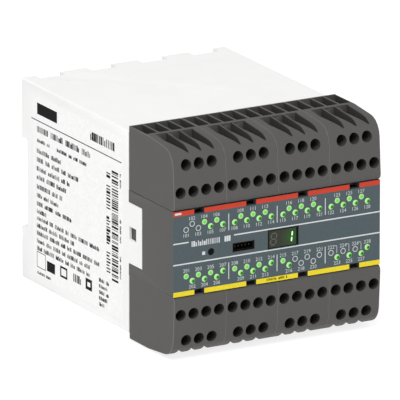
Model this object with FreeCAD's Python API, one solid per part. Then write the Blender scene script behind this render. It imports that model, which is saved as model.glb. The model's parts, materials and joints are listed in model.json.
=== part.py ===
import FreeCAD, Part
import math
import os

# A rail-mounted programmable safety controller, four modules wide, in millimetres.
# Origin: centre of the 35 mm rail, on the plane the rail seats against.
# +Y points to the wall, -Y to the operator, +X to the right seen from the front, +Z up.

Vector = FreeCAD.Vector

# Arrangement
MODULE_COUNT = 4
MODULE_PITCH = 22.5
MID_Z = 1.3

# Rail seat
RAIL_HEIGHT = 35.0
RAIL_LIP = 1.0
RAIL_PLAY = 0.2
HOOK_REACH = 2.0
HOOK_WIDTH = 7.0
HOOK_ROOT = 4.0

# Case
CASE_HEIGHT = 80.0
CASE_DEPTH = 80.2
CASE_WALL = 2.0
CASE_EDGE_RADIUS = 0.8
LUG_DEPTH = 4.4
LUG_WIDTH = 11.6
TONGUE_LENGTH = 10.3
TONGUE_HEIGHT = 24.0
TONGUE_THICKNESS = 1.1
TONGUE_WINDOW_DEPTH = 5.4
TONGUE_WINDOW_HEIGHT = 5.1
TONGUE_WINDOW_START = 0.4
LEDGE_WIDTH = 2.0
LEDGE_HEIGHT = 1.5

# Side label, let into the left wall
LABEL_THICKNESS = 0.2
LABEL_LENGTH = 71.0
LABEL_HEIGHT = 72.0
LABEL_START = 4.6

# Front cover
FRONT_DEPTH = 35.4
COVER_HEIGHT = 33.6
COVER_FRONT_WALL = 2.0
COVER_SHELF_WALL = 1.6
COVER_SIDE_WALL = 3.6
COVER_SETBACK = 1.4
FLANGE_THICKNESS = 2.0
NUB_HEIGHT = 0.8
FIT = 0.15

# Panel film and what shows through it
OVERLAY_THICKNESS = 0.5
OVERLAY_MARGIN = 0.05
NOTCH_WIDTH = 4.35
NOTCH_HEIGHT = 2.0
NOTCH_DEPTH = 3.5
GUIDE_WIDTH = 80.0
GUIDE_HEIGHT = 5.6
GUIDE_Z = 10.2
DISPLAY_X = 2.65
DISPLAY_WIDTH = 13.5
DISPLAY_HEIGHT = 7.6
DISPLAY_GLASS = 1.2
PORT_X = -14.55
PORT_Z = -0.85
PORT_WIDTH = 9.7
PORT_HEIGHT = 3.7
PORT_WALL = 0.6
PORT_POCKET = 6.0
PORT_FLOOR = 1.0
PORT_RECESS = 0.4
PORT_PIN_COUNT = 5
PORT_PIN_SIZE = 0.5
PORT_PIN_PITCH = 1.5
BUTTON_X = -28.6
BUTTON_Z = -1.0
BUTTON_HOLE_RADIUS = 1.4
BUTTON_SIDES = 24
BUTTON_GAP = 0.15
BUTTON_TRAVEL = 0.8
BUTTON_COLLAR = 4.2
BUTTON_COLLAR_THICKNESS = 0.9
BUTTON_RECESS = 0.3

# Terminal plugs
STACK_HEIGHT = 84.0
PLUG_GAP = 0.1
PLUG_SEAT_GAP = 0.1
PLUG_BACK_GAP = 0.2
RIDGE_BACK = 12.9
RIDGE_FRONT = 15.0
CORNER_DROP = 1.7
CORNER_RADIUS = 7.5
FACE_LEAN = 1.5
LIP_RADIUS = 2.0
PLUG_SIDE_WALL = 0.7
LOW_ROW_RISE = 7.1
HIGH_ROW_DROP = 7.55
TUNNEL_RADIUS = 2.2
TUNNEL_SIDES = 18
BARREL_SIDES = 24
CORNER_STEPS = 5
LIP_STEPS = 3
POCKET_WIDTH = 4.6
POCKET_BACK_WALL = 1.0
POCKET_TAPER_DEPTH = 9.0
CLAMP_WIDTH = 4.2
CLAMP_LENGTH = 5.4
CLAMP_HEIGHT = 5.8
CLAMP_GAP = 0.1
BARREL_RADIUS = 5.5
BARREL_SHIFT = 2.0
BARREL_DROP = 0.85
SCOOP_LEFT = 1.0
SCOOP_RIGHT = 3.3
SCOOP_TAPER = 1.2
SCOOP_RISE = 3.3

# Pin headers and boards
PIN_SIZE = 0.8
PIN_PITCH = 2.3
PIN_REACH = 8.5
PIN_RISE = 2.0
PIN_CLEARANCE = 0.4
HEADER_DEPTH = 6.0
HEADER_HEIGHT = 4.2
HEADER_MARGIN = 0.6
BOARD_THICKNESS = 1.6
BOARD_BACK_GAP = 6.0
FRONT_BOARD_GAP = 6.0
FRONT_BOARD_MARGIN = 2.0
POST_SIZE = 3.0
LINK_WIDTH = 30.0
LINK_HEIGHT = 5.0

# Board components
RELAY_SIZE = (10.0, 28.0, 15.7)
RELAY_PITCH = 20.0
RELAY_BACK_GAP = 20.0
PROCESSOR_SIZE = (14.0, 14.0, 1.4)
PROCESSOR_PITCH = 34.0
TRANSFORMER_SIZE = (22.0, 18.0, 14.0)
TRANSFORMER_SHIFT = 20.0
CAPACITOR_SIZE = (6.0, 18.0, 11.0)
CAPACITOR_PITCH = 9.0
CAPACITOR_SHIFT = -24.0
COMPONENT_BACK_GAP = 16.0
SWITCH_SIZE = 4.5

# Rail latches
LATCH_GAP = 0.25
LATCH_THICKNESS = 2.6
LATCH_WINDOW_WIDTH = 6.0
SPRING_LENGTH = 9.0
SPRING_WIDTH = 4.4
SPRING_THICKNESS = 0.5
SPRING_DEPTH = 1.8
SPRING_TURNS = 3
STUB_WIDTH = 3.0
STUB_HEIGHT = 2.5
STUB_DEPTH = 0.3
LATCH_LIP_WIDTH = 1.2
LATCH_FOOT_GAP = 0.3
RELEASE_WIDTH = 5.0
RELEASE_HEIGHT = 1.8
RELEASE_EDGE = 1.4

# Worked out from the sizes above
WIDTH = MODULE_COUNT * MODULE_PITCH
HALF_WIDTH = WIDTH / 2
JOIN_Y = -CASE_DEPTH
RAIL_EDGE = RAIL_HEIGHT / 2
SEAT_Z = RAIL_EDGE + RAIL_PLAY
CASE_TOP = MID_Z + CASE_HEIGHT / 2
CASE_BOTTOM = MID_Z - CASE_HEIGHT / 2
INNER_WIDTH = HALF_WIDTH - CASE_WALL
INNER_HEIGHT = CASE_HEIGHT / 2 - CASE_WALL
COVER_FACE = FRONT_DEPTH - COVER_SETBACK
COVER_INSIDE = COVER_FACE - COVER_FRONT_WALL
OVERLAY_FACE = COVER_FACE + OVERLAY_THICKNESS
OVERLAY_HEIGHT = COVER_HEIGHT - 2 * OVERLAY_MARGIN
FRONT_BOARD_FACE = COVER_INSIDE - FRONT_BOARD_GAP
COVER_INNER_HEIGHT = COVER_HEIGHT / 2 - COVER_SHELF_WALL
COVER_INNER_WIDTH = HALF_WIDTH - COVER_SIDE_WALL
PLUG_FLOOR = MID_Z + COVER_HEIGHT / 2 + PLUG_SEAT_GAP
PLUG_TOP = MID_Z + STACK_HEIGHT / 2
PIN_Z = PLUG_FLOOR + PIN_RISE
LOW_ROW_Z = PLUG_FLOOR + LOW_ROW_RISE
HIGH_ROW_Z = PLUG_TOP - HIGH_ROW_DROP
BOARD_TOP = PIN_Z - HEADER_HEIGHT / 2
BOARD_FLOOR = BOARD_TOP - BOARD_THICKNESS
BOARD_HALF_WIDTH = INNER_WIDTH - FIT
BOARD_FRONT = JOIN_Y + FLANGE_THICKNESS + FIT
BOARD_BACK = -CASE_WALL - BOARD_BACK_GAP
PIT_WIDTH = CLAMP_WIDTH + 2 * CLAMP_GAP
PIT_LENGTH = CLAMP_LENGTH + 2 * CLAMP_GAP
PIT_HEIGHT = CLAMP_HEIGHT + CLAMP_GAP
REAR_PIT = (POCKET_BACK_WALL + RIDGE_BACK - PIT_LENGTH) / 2
FRONT_PIT = RIDGE_FRONT
LOW_POLE_COUNT = 4
HIGH_POLE_COUNT = LOW_POLE_COUNT - 1
PIN_COUNT = LOW_POLE_COUNT + HIGH_POLE_COUNT
PLUG_WIDTH = MODULE_PITCH - PLUG_GAP
POLE_PITCH = (PLUG_WIDTH - 2 * PLUG_SIDE_WALL - PIT_WIDTH) / (LOW_POLE_COUNT - 1)
LATCH_WIDTH = MODULE_PITCH - LUG_WIDTH - 2 * LATCH_GAP
LATCH_FOOT = CASE_BOTTOM + LATCH_FOOT_GAP
LATCH_LIP_FACE = LATCH_THICKNESS + 2 * LATCH_GAP
WINDOW_FLOOR = LATCH_FOOT + 2 * RELEASE_EDGE + RELEASE_HEIGHT
STUB_TOP = WINDOW_FLOOR + STUB_HEIGHT
WINDOW_TOP = STUB_TOP + SPRING_LENGTH


def spread(count, pitch):
    """Centres of a row of like features, the row centred on zero."""
    return [(i - (count - 1) / 2) * pitch for i in range(count)]


MODULE_CENTRES = spread(MODULE_COUNT, MODULE_PITCH)
LOW_POLES = spread(LOW_POLE_COUNT, POLE_PITCH)
HIGH_POLES = spread(HIGH_POLE_COUNT, POLE_PITCH)
PIN_PLACES = spread(PIN_COUNT, PIN_PITCH)
HEADER_WIDTH = PIN_PLACES[-1] - PIN_PLACES[0] + PIN_SIZE + 2 * HEADER_MARGIN
LATCH_CENTRES = {"left": MODULE_CENTRES[0], "right": MODULE_CENTRES[-1]}

parts = {}


def ahead(distance):
    """Y of a point this far in front of the case's front rim."""
    return JOIN_Y - distance


def box(x, y, z):
    """Block between two corners, each axis given as a pair of ends."""
    x, y, z = sorted(x), sorted(y), sorted(z)
    return Part.makeBox(x[1] - x[0], y[1] - y[0], z[1] - z[0], Vector(x[0], y[0], z[0]))


def around(centre, size):
    """The two ends of a length centred on a point."""
    return (centre - size / 2, centre + size / 2)


def prism(points, x):
    """Side outline of (y, z) points carried across the width from x[0] to x[1]."""
    corners = [Vector(x[0], y, z) for y, z in points]
    face = Part.Face(Part.makePolygon(corners + corners[:1]))
    return face.extrude(Vector(x[1] - x[0], 0, 0))


def faceted_rod(start, axis, length, radius, sides):
    """Rod with flat sides that touch a circle of the radius, for holes and bosses that repeat."""
    along = Vector(axis).normalize()
    across = Vector(1, 0, 0)
    up = along.cross(across)
    corner = radius / math.cos(math.pi / sides)
    turns = [2 * math.pi * (i + 0.5) / sides for i in range(sides)]
    ring = [start + across * (corner * math.cos(a)) + up * (corner * math.sin(a)) for a in turns]
    return Part.Face(Part.makePolygon(ring + ring[:1])).extrude(along * length)


def rounded_corner(before, corner, after, radius, steps):
    """Points along an arc that rounds the corner of a (y, z) outline."""
    apex = Vector(0, *corner)
    to_before = (Vector(0, *before) - apex).normalize()
    to_after = (Vector(0, *after) - apex).normalize()
    half = to_before.getAngle(to_after) / 2
    centre = apex + (to_before + to_after).normalize() * (radius / math.sin(half))
    start = apex + to_before * (radius / math.tan(half)) - centre
    end = apex + to_after * (radius / math.tan(half)) - centre
    sweep = start.getAngle(end)
    points = []
    for i in range(steps + 1):
        share = sweep * i / steps
        arm = (start * math.sin(sweep - share) + end * math.sin(share)) * (1 / math.sin(sweep))
        points.append((centre.y + arm.y, centre.z + arm.z))
    return points


def mirrored(shape):
    """The same shape on the other side of the mid-height."""
    return shape.mirror(Vector(0, 0, MID_Z), Vector(0, 0, 1))


def half_turned(shape):
    """The same shape turned half round, about an axis along the depth at mid-height."""
    return shape.rotated(Vector(0, 0, MID_Z), Vector(0, 1, 0), 180)


def both_sides(shape):
    """A shape and its mirror image across the mid-width."""
    return [shape, shape.mirror(Vector(0, 0, 0), Vector(1, 0, 0))]


def cut_all(solid, tools):
    return solid.cut(tools).removeSplitter()


def fuse_all(solid, pieces):
    return solid.fuse(pieces).removeSplitter()


def rounded_case_block():
    """Outer block of the case, rim to lug backs, with its four long edges rounded."""
    block = box((-HALF_WIDTH, HALF_WIDTH), (JOIN_Y, LUG_DEPTH), (CASE_BOTTOM, CASE_TOP))
    long_edges = [e for e in block.Edges if abs(e.tangentAt(e.FirstParameter).y) > 0.9]
    return block.makeFillet(CASE_EDGE_RADIUS, long_edges)


def rail_hook(x):
    """Fixed hook that reaches down behind the rail's upper lip."""
    throat = RAIL_LIP + RAIL_PLAY
    tip = RAIL_EDGE - HOOK_REACH
    outline = [
        (0, SEAT_Z),
        (0, SEAT_Z + HOOK_ROOT),
        (LUG_DEPTH - RAIL_PLAY, SEAT_Z + HOOK_ROOT / 2),
        (LUG_DEPTH - RAIL_PLAY, tip + HOOK_REACH / 2),
        (throat + HOOK_REACH / 4, tip),
        (throat, tip + HOOK_REACH / 4),
        (throat, SEAT_Z),
    ]
    return prism(outline, around(x, HOOK_WIDTH))


def latch_guides(x):
    """Lips on the lug flanks that keep a rail latch in, and the stub its spring stands on."""
    flank = (MODULE_PITCH - LUG_WIDTH) / 2
    edge = flank - LATCH_LIP_WIDTH
    y = (LATCH_LIP_FACE, LUG_DEPTH)
    z = (LATCH_FOOT, WINDOW_TOP)
    lips = [box((x + side * flank, x + side * edge), y, z) for side in (-1, 1)]
    stub_depth = LATCH_GAP + LATCH_THICKNESS - STUB_DEPTH
    return lips + [box(around(x, STUB_WIDTH), (0, stub_depth), (WINDOW_FLOOR, STUB_TOP))]


def side_tongue():
    """Snap tongue on the left side, flush with the wall, with its latch window."""
    tongue = box((-HALF_WIDTH, -HALF_WIDTH + TONGUE_THICKNESS), (ahead(TONGUE_LENGTH), JOIN_Y),
                 around(MID_Z, TONGUE_HEIGHT))
    window_back = ahead(TONGUE_WINDOW_START)
    window = box((-HALF_WIDTH, -HALF_WIDTH + TONGUE_THICKNESS),
                 (window_back, window_back - TONGUE_WINDOW_DEPTH),
                 around(MID_Z, TONGUE_WINDOW_HEIGHT))
    return tongue.cut(window)


def board_ledges():
    """Ledges along the left wall that carry the upper and the processor board, and the mirror pair."""
    wall = (-INNER_WIDTH, -INNER_WIDTH + LEDGE_WIDTH)
    length = (BOARD_FRONT + FIT, -CASE_WALL)
    upper = box(wall, length, (BOARD_FLOOR - LEDGE_HEIGHT, BOARD_FLOOR))
    middle_top = MID_Z - BOARD_THICKNESS / 2
    middle = box(wall, length, (middle_top - LEDGE_HEIGHT, middle_top))
    return [upper, mirrored(upper), middle]


def housing():
    shell = rounded_case_block()
    inside = box((-INNER_WIDTH, INNER_WIDTH), (JOIN_Y, -CASE_WALL), around(MID_Z, 2 * INNER_HEIGHT))
    rail = box((-HALF_WIDTH, HALF_WIDTH), (0, LUG_DEPTH), (-SEAT_Z, SEAT_Z))
    gap = MODULE_PITCH - LUG_WIDTH
    gaps = [box(around(x, gap), (0, LUG_DEPTH), (CASE_BOTTOM, CASE_TOP)) for x in MODULE_CENTRES]
    label_y = JOIN_Y + LABEL_START
    recess = box((-HALF_WIDTH, -HALF_WIDTH + LABEL_THICKNESS), (label_y, label_y + LABEL_LENGTH),
                 around(MID_Z, LABEL_HEIGHT))
    shell = cut_all(shell, [inside, rail, recess] + gaps)
    added = [rail_hook(x) for x in MODULE_CENTRES]
    for x in LATCH_CENTRES.values():
        added += latch_guides(x)
    added += both_sides(side_tongue())
    for ledge in board_ledges():
        added += both_sides(ledge)
    return fuse_all(shell, added)


def side_label():
    label_y = JOIN_Y + LABEL_START
    return box((-HALF_WIDTH, -HALF_WIDTH + LABEL_THICKNESS), (label_y, label_y + LABEL_LENGTH),
               around(MID_Z, LABEL_HEIGHT))


def levering_notches(depth):
    """Notches beside each plug, cut back from the cover's face, upper row and lower row."""
    top = MID_Z + COVER_HEIGHT / 2
    floor = MID_Z + OVERLAY_HEIGHT / 2 - NOTCH_HEIGHT
    upper = [box(around(x, NOTCH_WIDTH), (ahead(OVERLAY_FACE), ahead(COVER_FACE - depth)), (floor, top))
             for x in MODULE_CENTRES]
    return upper + [mirrored(notch) for notch in upper]


def button_rod(y, radius):
    """Round rod on the push button's axis, between two depths."""
    front, back = sorted(y)
    start = Vector(BUTTON_X, front, MID_Z + BUTTON_Z)
    return faceted_rod(start, Vector(0, 1, 0), back - front, radius, BUTTON_SIDES)


def panel_windows(back):
    """Cut-outs for the display, the port and the push button, from the film's face back."""
    y = (ahead(OVERLAY_FACE), ahead(back))
    display = box(around(DISPLAY_X, DISPLAY_WIDTH), y, around(MID_Z, DISPLAY_HEIGHT))
    port = box(around(PORT_X, PORT_WIDTH), y, around(MID_Z + PORT_Z, PORT_HEIGHT))
    button = button_rod(y, BUTTON_HOLE_RADIUS)
    return [display, port, button]


def guide_bars(y, clearance):
    """Light-guide bar behind the upper indicators, and its mirror behind the lower ones."""
    upper = box(around(0, GUIDE_WIDTH + 2 * clearance), y,
                around(MID_Z + GUIDE_Z, GUIDE_HEIGHT + 2 * clearance))
    return [upper, mirrored(upper)]


def board_posts():
    """Posts behind the cover's front wall that carry the front board at its two ends."""
    x = COVER_INNER_WIDTH - FRONT_BOARD_MARGIN - POST_SIZE
    y = (ahead(COVER_INSIDE), ahead(FRONT_BOARD_FACE))
    post = box((-x, -x - POST_SIZE), y, around(MID_Z, POST_SIZE))
    return both_sides(post)


def latch_nub():
    """Ramped nub on the cover's left side that fills the tongue's window from inside."""
    root = -HALF_WIDTH + TONGUE_THICKNESS + FIT
    back = ahead(TONGUE_WINDOW_START + FIT)
    front = ahead(TONGUE_WINDOW_START + TONGUE_WINDOW_DEPTH - FIT)
    z = around(MID_Z, TONGUE_WINDOW_HEIGHT - 2 * FIT)
    corners = [Vector(root, back, z[0]), Vector(root, front, z[0]), Vector(root - NUB_HEIGHT, front, z[0])]
    face = Part.Face(Part.makePolygon(corners + corners[:1]))
    return face.extrude(Vector(0, 0, z[1] - z[0]))


def header_blocks(y, clearance):
    """Pin-header bodies of the upper row, one behind each plug."""
    return [box(around(x, HEADER_WIDTH + 2 * clearance), y, around(PIN_Z, HEADER_HEIGHT + 2 * clearance))
            for x in MODULE_CENTRES]


def upper_header():
    return Part.makeCompound(header_blocks((JOIN_Y + FIT, JOIN_Y + FIT + HEADER_DEPTH), 0))


def front_cover():
    flange = box(around(0, 2 * (INNER_WIDTH - FIT)), (JOIN_Y, JOIN_Y + FLANGE_THICKNESS),
                 around(MID_Z, 2 * (INNER_HEIGHT - FIT)))
    tray = box((-HALF_WIDTH, HALF_WIDTH), (JOIN_Y, ahead(COVER_FACE)), around(MID_Z, COVER_HEIGHT))
    inside = box((-COVER_INNER_WIDTH, COVER_INNER_WIDTH), (JOIN_Y + FLANGE_THICKNESS, ahead(COVER_INSIDE)),
                 around(MID_Z, 2 * COVER_INNER_HEIGHT))
    tongue_bed = box((-HALF_WIDTH, -HALF_WIDTH + TONGUE_THICKNESS + FIT),
                     (JOIN_Y, ahead(TONGUE_LENGTH + FIT)),
                     around(MID_Z, TONGUE_HEIGHT + 2 * FIT))
    headers = header_blocks((JOIN_Y, JOIN_Y + FLANGE_THICKNESS), FIT)
    cuts = [inside] + headers + [mirrored(header) for header in headers]
    cuts += both_sides(tongue_bed)
    cuts += levering_notches(NOTCH_DEPTH)
    cuts += panel_windows(COVER_INSIDE)
    cuts += guide_bars((ahead(COVER_FACE), ahead(COVER_INSIDE)), FIT)
    cover = cut_all(flange.fuse(tray), cuts)
    return fuse_all(cover, board_posts() + both_sides(latch_nub()))


def face_overlay():
    film = box((-HALF_WIDTH, HALF_WIDTH), (ahead(COVER_FACE), ahead(OVERLAY_FACE)),
               around(MID_Z, OVERLAY_HEIGHT))
    return cut_all(film, levering_notches(0) + panel_windows(COVER_FACE))


def plug_outline():
    """Side outline of an upper plug: flat over the wire pockets, then a slope and a round to the leaning face."""
    heel = (ahead(PLUG_BACK_GAP), PLUG_FLOOR)
    back = (ahead(PLUG_BACK_GAP), PLUG_TOP)
    ridge = (ahead(RIDGE_FRONT), PLUG_TOP)
    shoulder = (ahead(FRONT_DEPTH - FACE_LEAN), PLUG_TOP - CORNER_DROP)
    toe = (ahead(FRONT_DEPTH), PLUG_FLOOR)
    outline = [heel, back, ridge]
    outline += rounded_corner(ridge, shoulder, toe, CORNER_RADIUS, CORNER_STEPS)
    outline += rounded_corner(shoulder, toe, heel, LIP_RADIUS, LIP_STEPS)
    return outline


def clamp_block(x, row_z, pit):
    """Wire clamp standing on the floor of its pit, centred on the screw's axis."""
    y = around(ahead(pit + PIT_LENGTH / 2), CLAMP_LENGTH)
    return box(around(x, CLAMP_WIDTH), y, around(row_z, CLAMP_HEIGHT))


def clamp_pit(x, row_z, pit):
    """Chamber that a wire clamp stands in, as wide as the screw tunnel that ends in it."""
    floor = row_z - CLAMP_HEIGHT / 2
    return box(around(x, PIT_WIDTH), (ahead(pit), ahead(pit + PIT_LENGTH)), (floor, floor + PIT_HEIGHT))


def rear_pocket(x):
    """Wire pocket of the row next to the panel: a mouth that narrows to a shaft over its pit."""
    row_z = LOW_ROW_Z
    throat_z = PLUG_TOP - POCKET_TAPER_DEPTH
    return prism([
        (ahead(POCKET_BACK_WALL), PLUG_TOP),
        (ahead(RIDGE_BACK), PLUG_TOP),
        (ahead(REAR_PIT + PIT_LENGTH), throat_z),
        (ahead(REAR_PIT + PIT_LENGTH), row_z),
        (ahead(REAR_PIT), row_z),
        (ahead(REAR_PIT), throat_z),
    ], around(x, POCKET_WIDTH))


def barrel(x):
    """Round boss to the left of a front-row screw, whose right side is the convex floor of the wire scoop."""
    start = Vector(x - BARREL_SHIFT, ahead(FRONT_PIT + PIT_LENGTH), PLUG_TOP - BARREL_DROP - BARREL_RADIUS)
    return faceted_rod(start, Vector(0, -1, 0), FRONT_DEPTH, BARREL_RADIUS, BARREL_SIDES)


def front_scoop(x):
    """Wire scoop of a front-row screw: a shaft to the clamp, and a channel that narrows and runs out forwards."""
    over = PLUG_TOP + CORNER_DROP
    left = x - SCOOP_LEFT
    shaft = box((left, x + PIT_WIDTH / 2), (ahead(RIDGE_FRONT), ahead(FRONT_PIT + PIT_LENGTH)),
                (HIGH_ROW_Z, over))
    floor = HIGH_ROW_Z + SCOOP_RISE
    corners = [
        Vector(left, ahead(RIDGE_FRONT), floor),
        Vector(x + SCOOP_RIGHT, ahead(RIDGE_FRONT), floor),
        Vector(x + SCOOP_RIGHT - SCOOP_TAPER, ahead(FRONT_DEPTH), floor),
        Vector(left, ahead(FRONT_DEPTH), floor),
    ]
    channel = Part.Face(Part.makePolygon(corners + corners[:1])).extrude(Vector(0, 0, over - floor))
    return fuse_all(shaft, [channel.cut(barrel(x))])


def poles():
    """Place, row height and pit of every pole: the row next to the panel, then the outer row."""
    low = [(x, LOW_ROW_Z, REAR_PIT) for x in LOW_POLES]
    high = [(x, HIGH_ROW_Z, FRONT_PIT) for x in HIGH_POLES]
    return low + high


def screw_tunnel(x, row_z, pit):
    """Screwdriver tunnel from the face back to a clamp's pit."""
    start = Vector(x, ahead(pit + PIT_LENGTH), row_z)
    length = FRONT_DEPTH - pit - PIT_LENGTH
    return faceted_rod(start, Vector(0, -1, 0), length, TUNNEL_RADIUS, TUNNEL_SIDES)


def pin_slot():
    """Slot in a plug's back that goes over its seven header pins."""
    reach = PIN_SIZE + 2 * PIN_CLEARANCE
    return box(around(0, PIN_PLACES[-1] - PIN_PLACES[0] + reach),
               (ahead(PLUG_BACK_GAP), ahead(PIN_REACH + PIN_CLEARANCE)),
               around(PIN_Z, reach))


def terminal_plug():
    body = prism(plug_outline(), around(0, PLUG_WIDTH))
    cuts = [pin_slot()]
    cuts += [front_scoop(x) for x in HIGH_POLES]
    cuts += [rear_pocket(x) for x in LOW_POLES]
    cuts += [clamp_pit(*pole) for pole in poles()]
    cuts += [screw_tunnel(*pole) for pole in poles()]
    return cut_all(body, cuts)


def wire_clamps():
    return Part.makeCompound([clamp_block(*pole) for pole in poles()])


def header_pins():
    y = (JOIN_Y + FIT, ahead(PIN_REACH))
    pins = [box(around(centre + x, PIN_SIZE), y, around(PIN_Z, PIN_SIZE))
            for centre in MODULE_CENTRES for x in PIN_PLACES]
    return Part.makeCompound(pins)


def main_board():
    return box(around(0, 2 * BOARD_HALF_WIDTH), (BOARD_FRONT, BOARD_BACK), (BOARD_FLOOR, BOARD_TOP))


def processor_board():
    half = COVER_INNER_WIDTH - FIT
    z = around(MID_Z, BOARD_THICKNESS)
    wide = box(around(0, 2 * BOARD_HALF_WIDTH), (BOARD_FRONT, BOARD_BACK), z)
    arm_front = ahead(FRONT_BOARD_FACE - BOARD_THICKNESS - LINK_HEIGHT)
    arm = box(around(0, 2 * half), (arm_front, BOARD_FRONT), z)
    return fuse_all(wide, [arm])


def link_connector():
    back = FRONT_BOARD_FACE - BOARD_THICKNESS
    return box(around(0, LINK_WIDTH), (ahead(back), ahead(back - LINK_HEIGHT)),
               around(MID_Z, LINK_HEIGHT))


def front_board():
    half = COVER_INNER_WIDTH - FRONT_BOARD_MARGIN
    height = COVER_INNER_HEIGHT - FIT
    return box(around(0, 2 * half), (ahead(FRONT_BOARD_FACE), ahead(FRONT_BOARD_FACE - BOARD_THICKNESS)),
               around(MID_Z, 2 * height))


def row_of(size, count, pitch, shift, back_gap, floor_z):
    """Like components side by side on a board."""
    back = BOARD_BACK - back_gap
    centres = [shift + (i - (count - 1) / 2) * pitch for i in range(count)]
    return [box(around(x, size[0]), (back - size[1], back), (floor_z, floor_z + size[2])) for x in centres]


def push_button():
    shoulder = COVER_INSIDE - FIT
    cap = OVERLAY_FACE - BUTTON_RECESS
    stem = button_rod((ahead(shoulder), ahead(cap)), BUTTON_HOLE_RADIUS - BUTTON_GAP)
    collar = box(around(BUTTON_X, BUTTON_COLLAR),
                 (ahead(shoulder), ahead(shoulder - BUTTON_COLLAR_THICKNESS)),
                 around(MID_Z + BUTTON_Z, BUTTON_COLLAR))
    return fuse_all(collar, [stem])


def button_switch():
    face = COVER_INSIDE - FIT - BUTTON_COLLAR_THICKNESS - BUTTON_TRAVEL - BUTTON_GAP / 2
    return box(around(BUTTON_X, SWITCH_SIZE), (ahead(FRONT_BOARD_FACE), ahead(face)),
               around(MID_Z + BUTTON_Z, SWITCH_SIZE))


def display_window():
    y = (ahead(OVERLAY_FACE), ahead(OVERLAY_FACE - DISPLAY_GLASS))
    return box(around(DISPLAY_X, DISPLAY_WIDTH - 2 * FIT), y, around(MID_Z, DISPLAY_HEIGHT - 2 * FIT))


def display_module():
    return box(around(DISPLAY_X, DISPLAY_WIDTH - 2 * FIT),
               (ahead(FRONT_BOARD_FACE), ahead(OVERLAY_FACE - DISPLAY_GLASS)),
               around(MID_Z, DISPLAY_HEIGHT - 2 * FIT))


def program_port():
    face = OVERLAY_FACE - PORT_RECESS
    z = MID_Z + PORT_Z
    body = box(around(PORT_X, PORT_WIDTH - 2 * FIT), (ahead(FRONT_BOARD_FACE), ahead(face)),
               around(z, PORT_HEIGHT - 2 * FIT))
    rim = 2 * (FIT + PORT_WALL)
    pocket = box(around(PORT_X, PORT_WIDTH - rim), (ahead(face), ahead(face - PORT_POCKET)),
                 around(z, PORT_HEIGHT - rim))
    return body.cut(pocket)


def port_pins():
    floor = OVERLAY_FACE - PORT_RECESS - PORT_POCKET
    tip = floor + PORT_POCKET - PORT_FLOOR
    centres = [PORT_X + (i - (PORT_PIN_COUNT - 1) / 2) * PORT_PIN_PITCH for i in range(PORT_PIN_COUNT)]
    return Part.makeCompound([box(around(x, PORT_PIN_SIZE), (ahead(floor), ahead(tip)),
                                  around(MID_Z + PORT_Z, PORT_PIN_SIZE)) for x in centres])


def foot_latch(x):
    """Sliding rail latch: a plate with a sloped nose, a spring window and a release slot."""
    y0 = LATCH_GAP
    y1 = LATCH_GAP + LATCH_THICKNESS
    throat = RAIL_LIP + RAIL_PLAY
    shoulder = -SEAT_Z - RAIL_PLAY
    tip = -RAIL_EDGE + HOOK_REACH
    plate = box(around(x, LATCH_WIDTH), (y0, y1), (LATCH_FOOT, shoulder))
    nose = prism([
        (throat, shoulder),
        (throat, tip - HOOK_REACH / 4),
        (throat + HOOK_REACH / 4, tip),
        (LUG_DEPTH - RAIL_PLAY, shoulder),
        (LUG_DEPTH - RAIL_PLAY, shoulder - HOOK_REACH / 2),
        (y1, shoulder - HOOK_REACH),
        (throat, shoulder - HOOK_REACH),
    ], around(x, HOOK_WIDTH))
    window = box(around(x, LATCH_WINDOW_WIDTH), (y0, y1), (WINDOW_FLOOR, WINDOW_TOP))
    release_floor = LATCH_FOOT + RELEASE_EDGE
    release = box(around(x, RELEASE_WIDTH), (y0, y1), (release_floor, release_floor + RELEASE_HEIGHT))
    return cut_all(fuse_all(plate, [nose]), [window, release])


def latch_spring(x):
    """Zigzag strip spring between the case's stub and the top of the latch's window."""
    y = (LATCH_GAP, LATCH_GAP + SPRING_DEPTH)
    half = (SPRING_WIDTH - SPRING_THICKNESS) / 2
    rise = (SPRING_LENGTH - SPRING_THICKNESS) / (2 * SPRING_TURNS)
    bars = []
    for turn in range(2 * SPRING_TURNS):
        side = 1 if turn % 2 == 0 else -1
        low = STUB_TOP + turn * rise
        corners = [
            Vector(x - side * half, y[0], low),
            Vector(x + side * half, y[0], low + rise),
            Vector(x + side * half, y[0], low + rise + SPRING_THICKNESS),
            Vector(x - side * half, y[0], low + SPRING_THICKNESS),
        ]
        face = Part.Face(Part.makePolygon(corners + corners[:1]))
        bars.append(face.extrude(Vector(0, y[1] - y[0], 0)))
    return fuse_all(bars[0], bars[1:])


parts["housing"] = housing()
parts["side_label"] = side_label()
parts["front_cover"] = front_cover()
parts["face_overlay"] = face_overlay()
parts["light_guides"] = Part.makeCompound(guide_bars((ahead(COVER_FACE), ahead(FRONT_BOARD_FACE)), 0))
parts["display_window"] = display_window()
parts["display_module"] = display_module()
parts["program_port"] = program_port()
parts["port_pins"] = port_pins()
parts["set_button"] = push_button()
parts["button_switch"] = button_switch()
parts["front_board"] = front_board()
parts["link_connector"] = link_connector()
parts["processor_board"] = processor_board()
parts["processors"] = Part.makeCompound(
    row_of(PROCESSOR_SIZE, 2, PROCESSOR_PITCH, 0, COMPONENT_BACK_GAP, MID_Z + BOARD_THICKNESS / 2))
parts["upper_board"] = main_board()
parts["lower_board"] = mirrored(main_board())
parts["upper_header"] = upper_header()
parts["lower_header"] = mirrored(upper_header())
parts["upper_header_pins"] = header_pins()
parts["lower_header_pins"] = mirrored(header_pins())
parts["relays"] = Part.makeCompound(
    row_of(RELAY_SIZE, MODULE_COUNT, RELAY_PITCH, 0, RELAY_BACK_GAP, BOARD_TOP))
parts["supply_transformer"] = mirrored(
    row_of(TRANSFORMER_SIZE, 1, 0, TRANSFORMER_SHIFT, COMPONENT_BACK_GAP, BOARD_TOP)[0])
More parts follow.
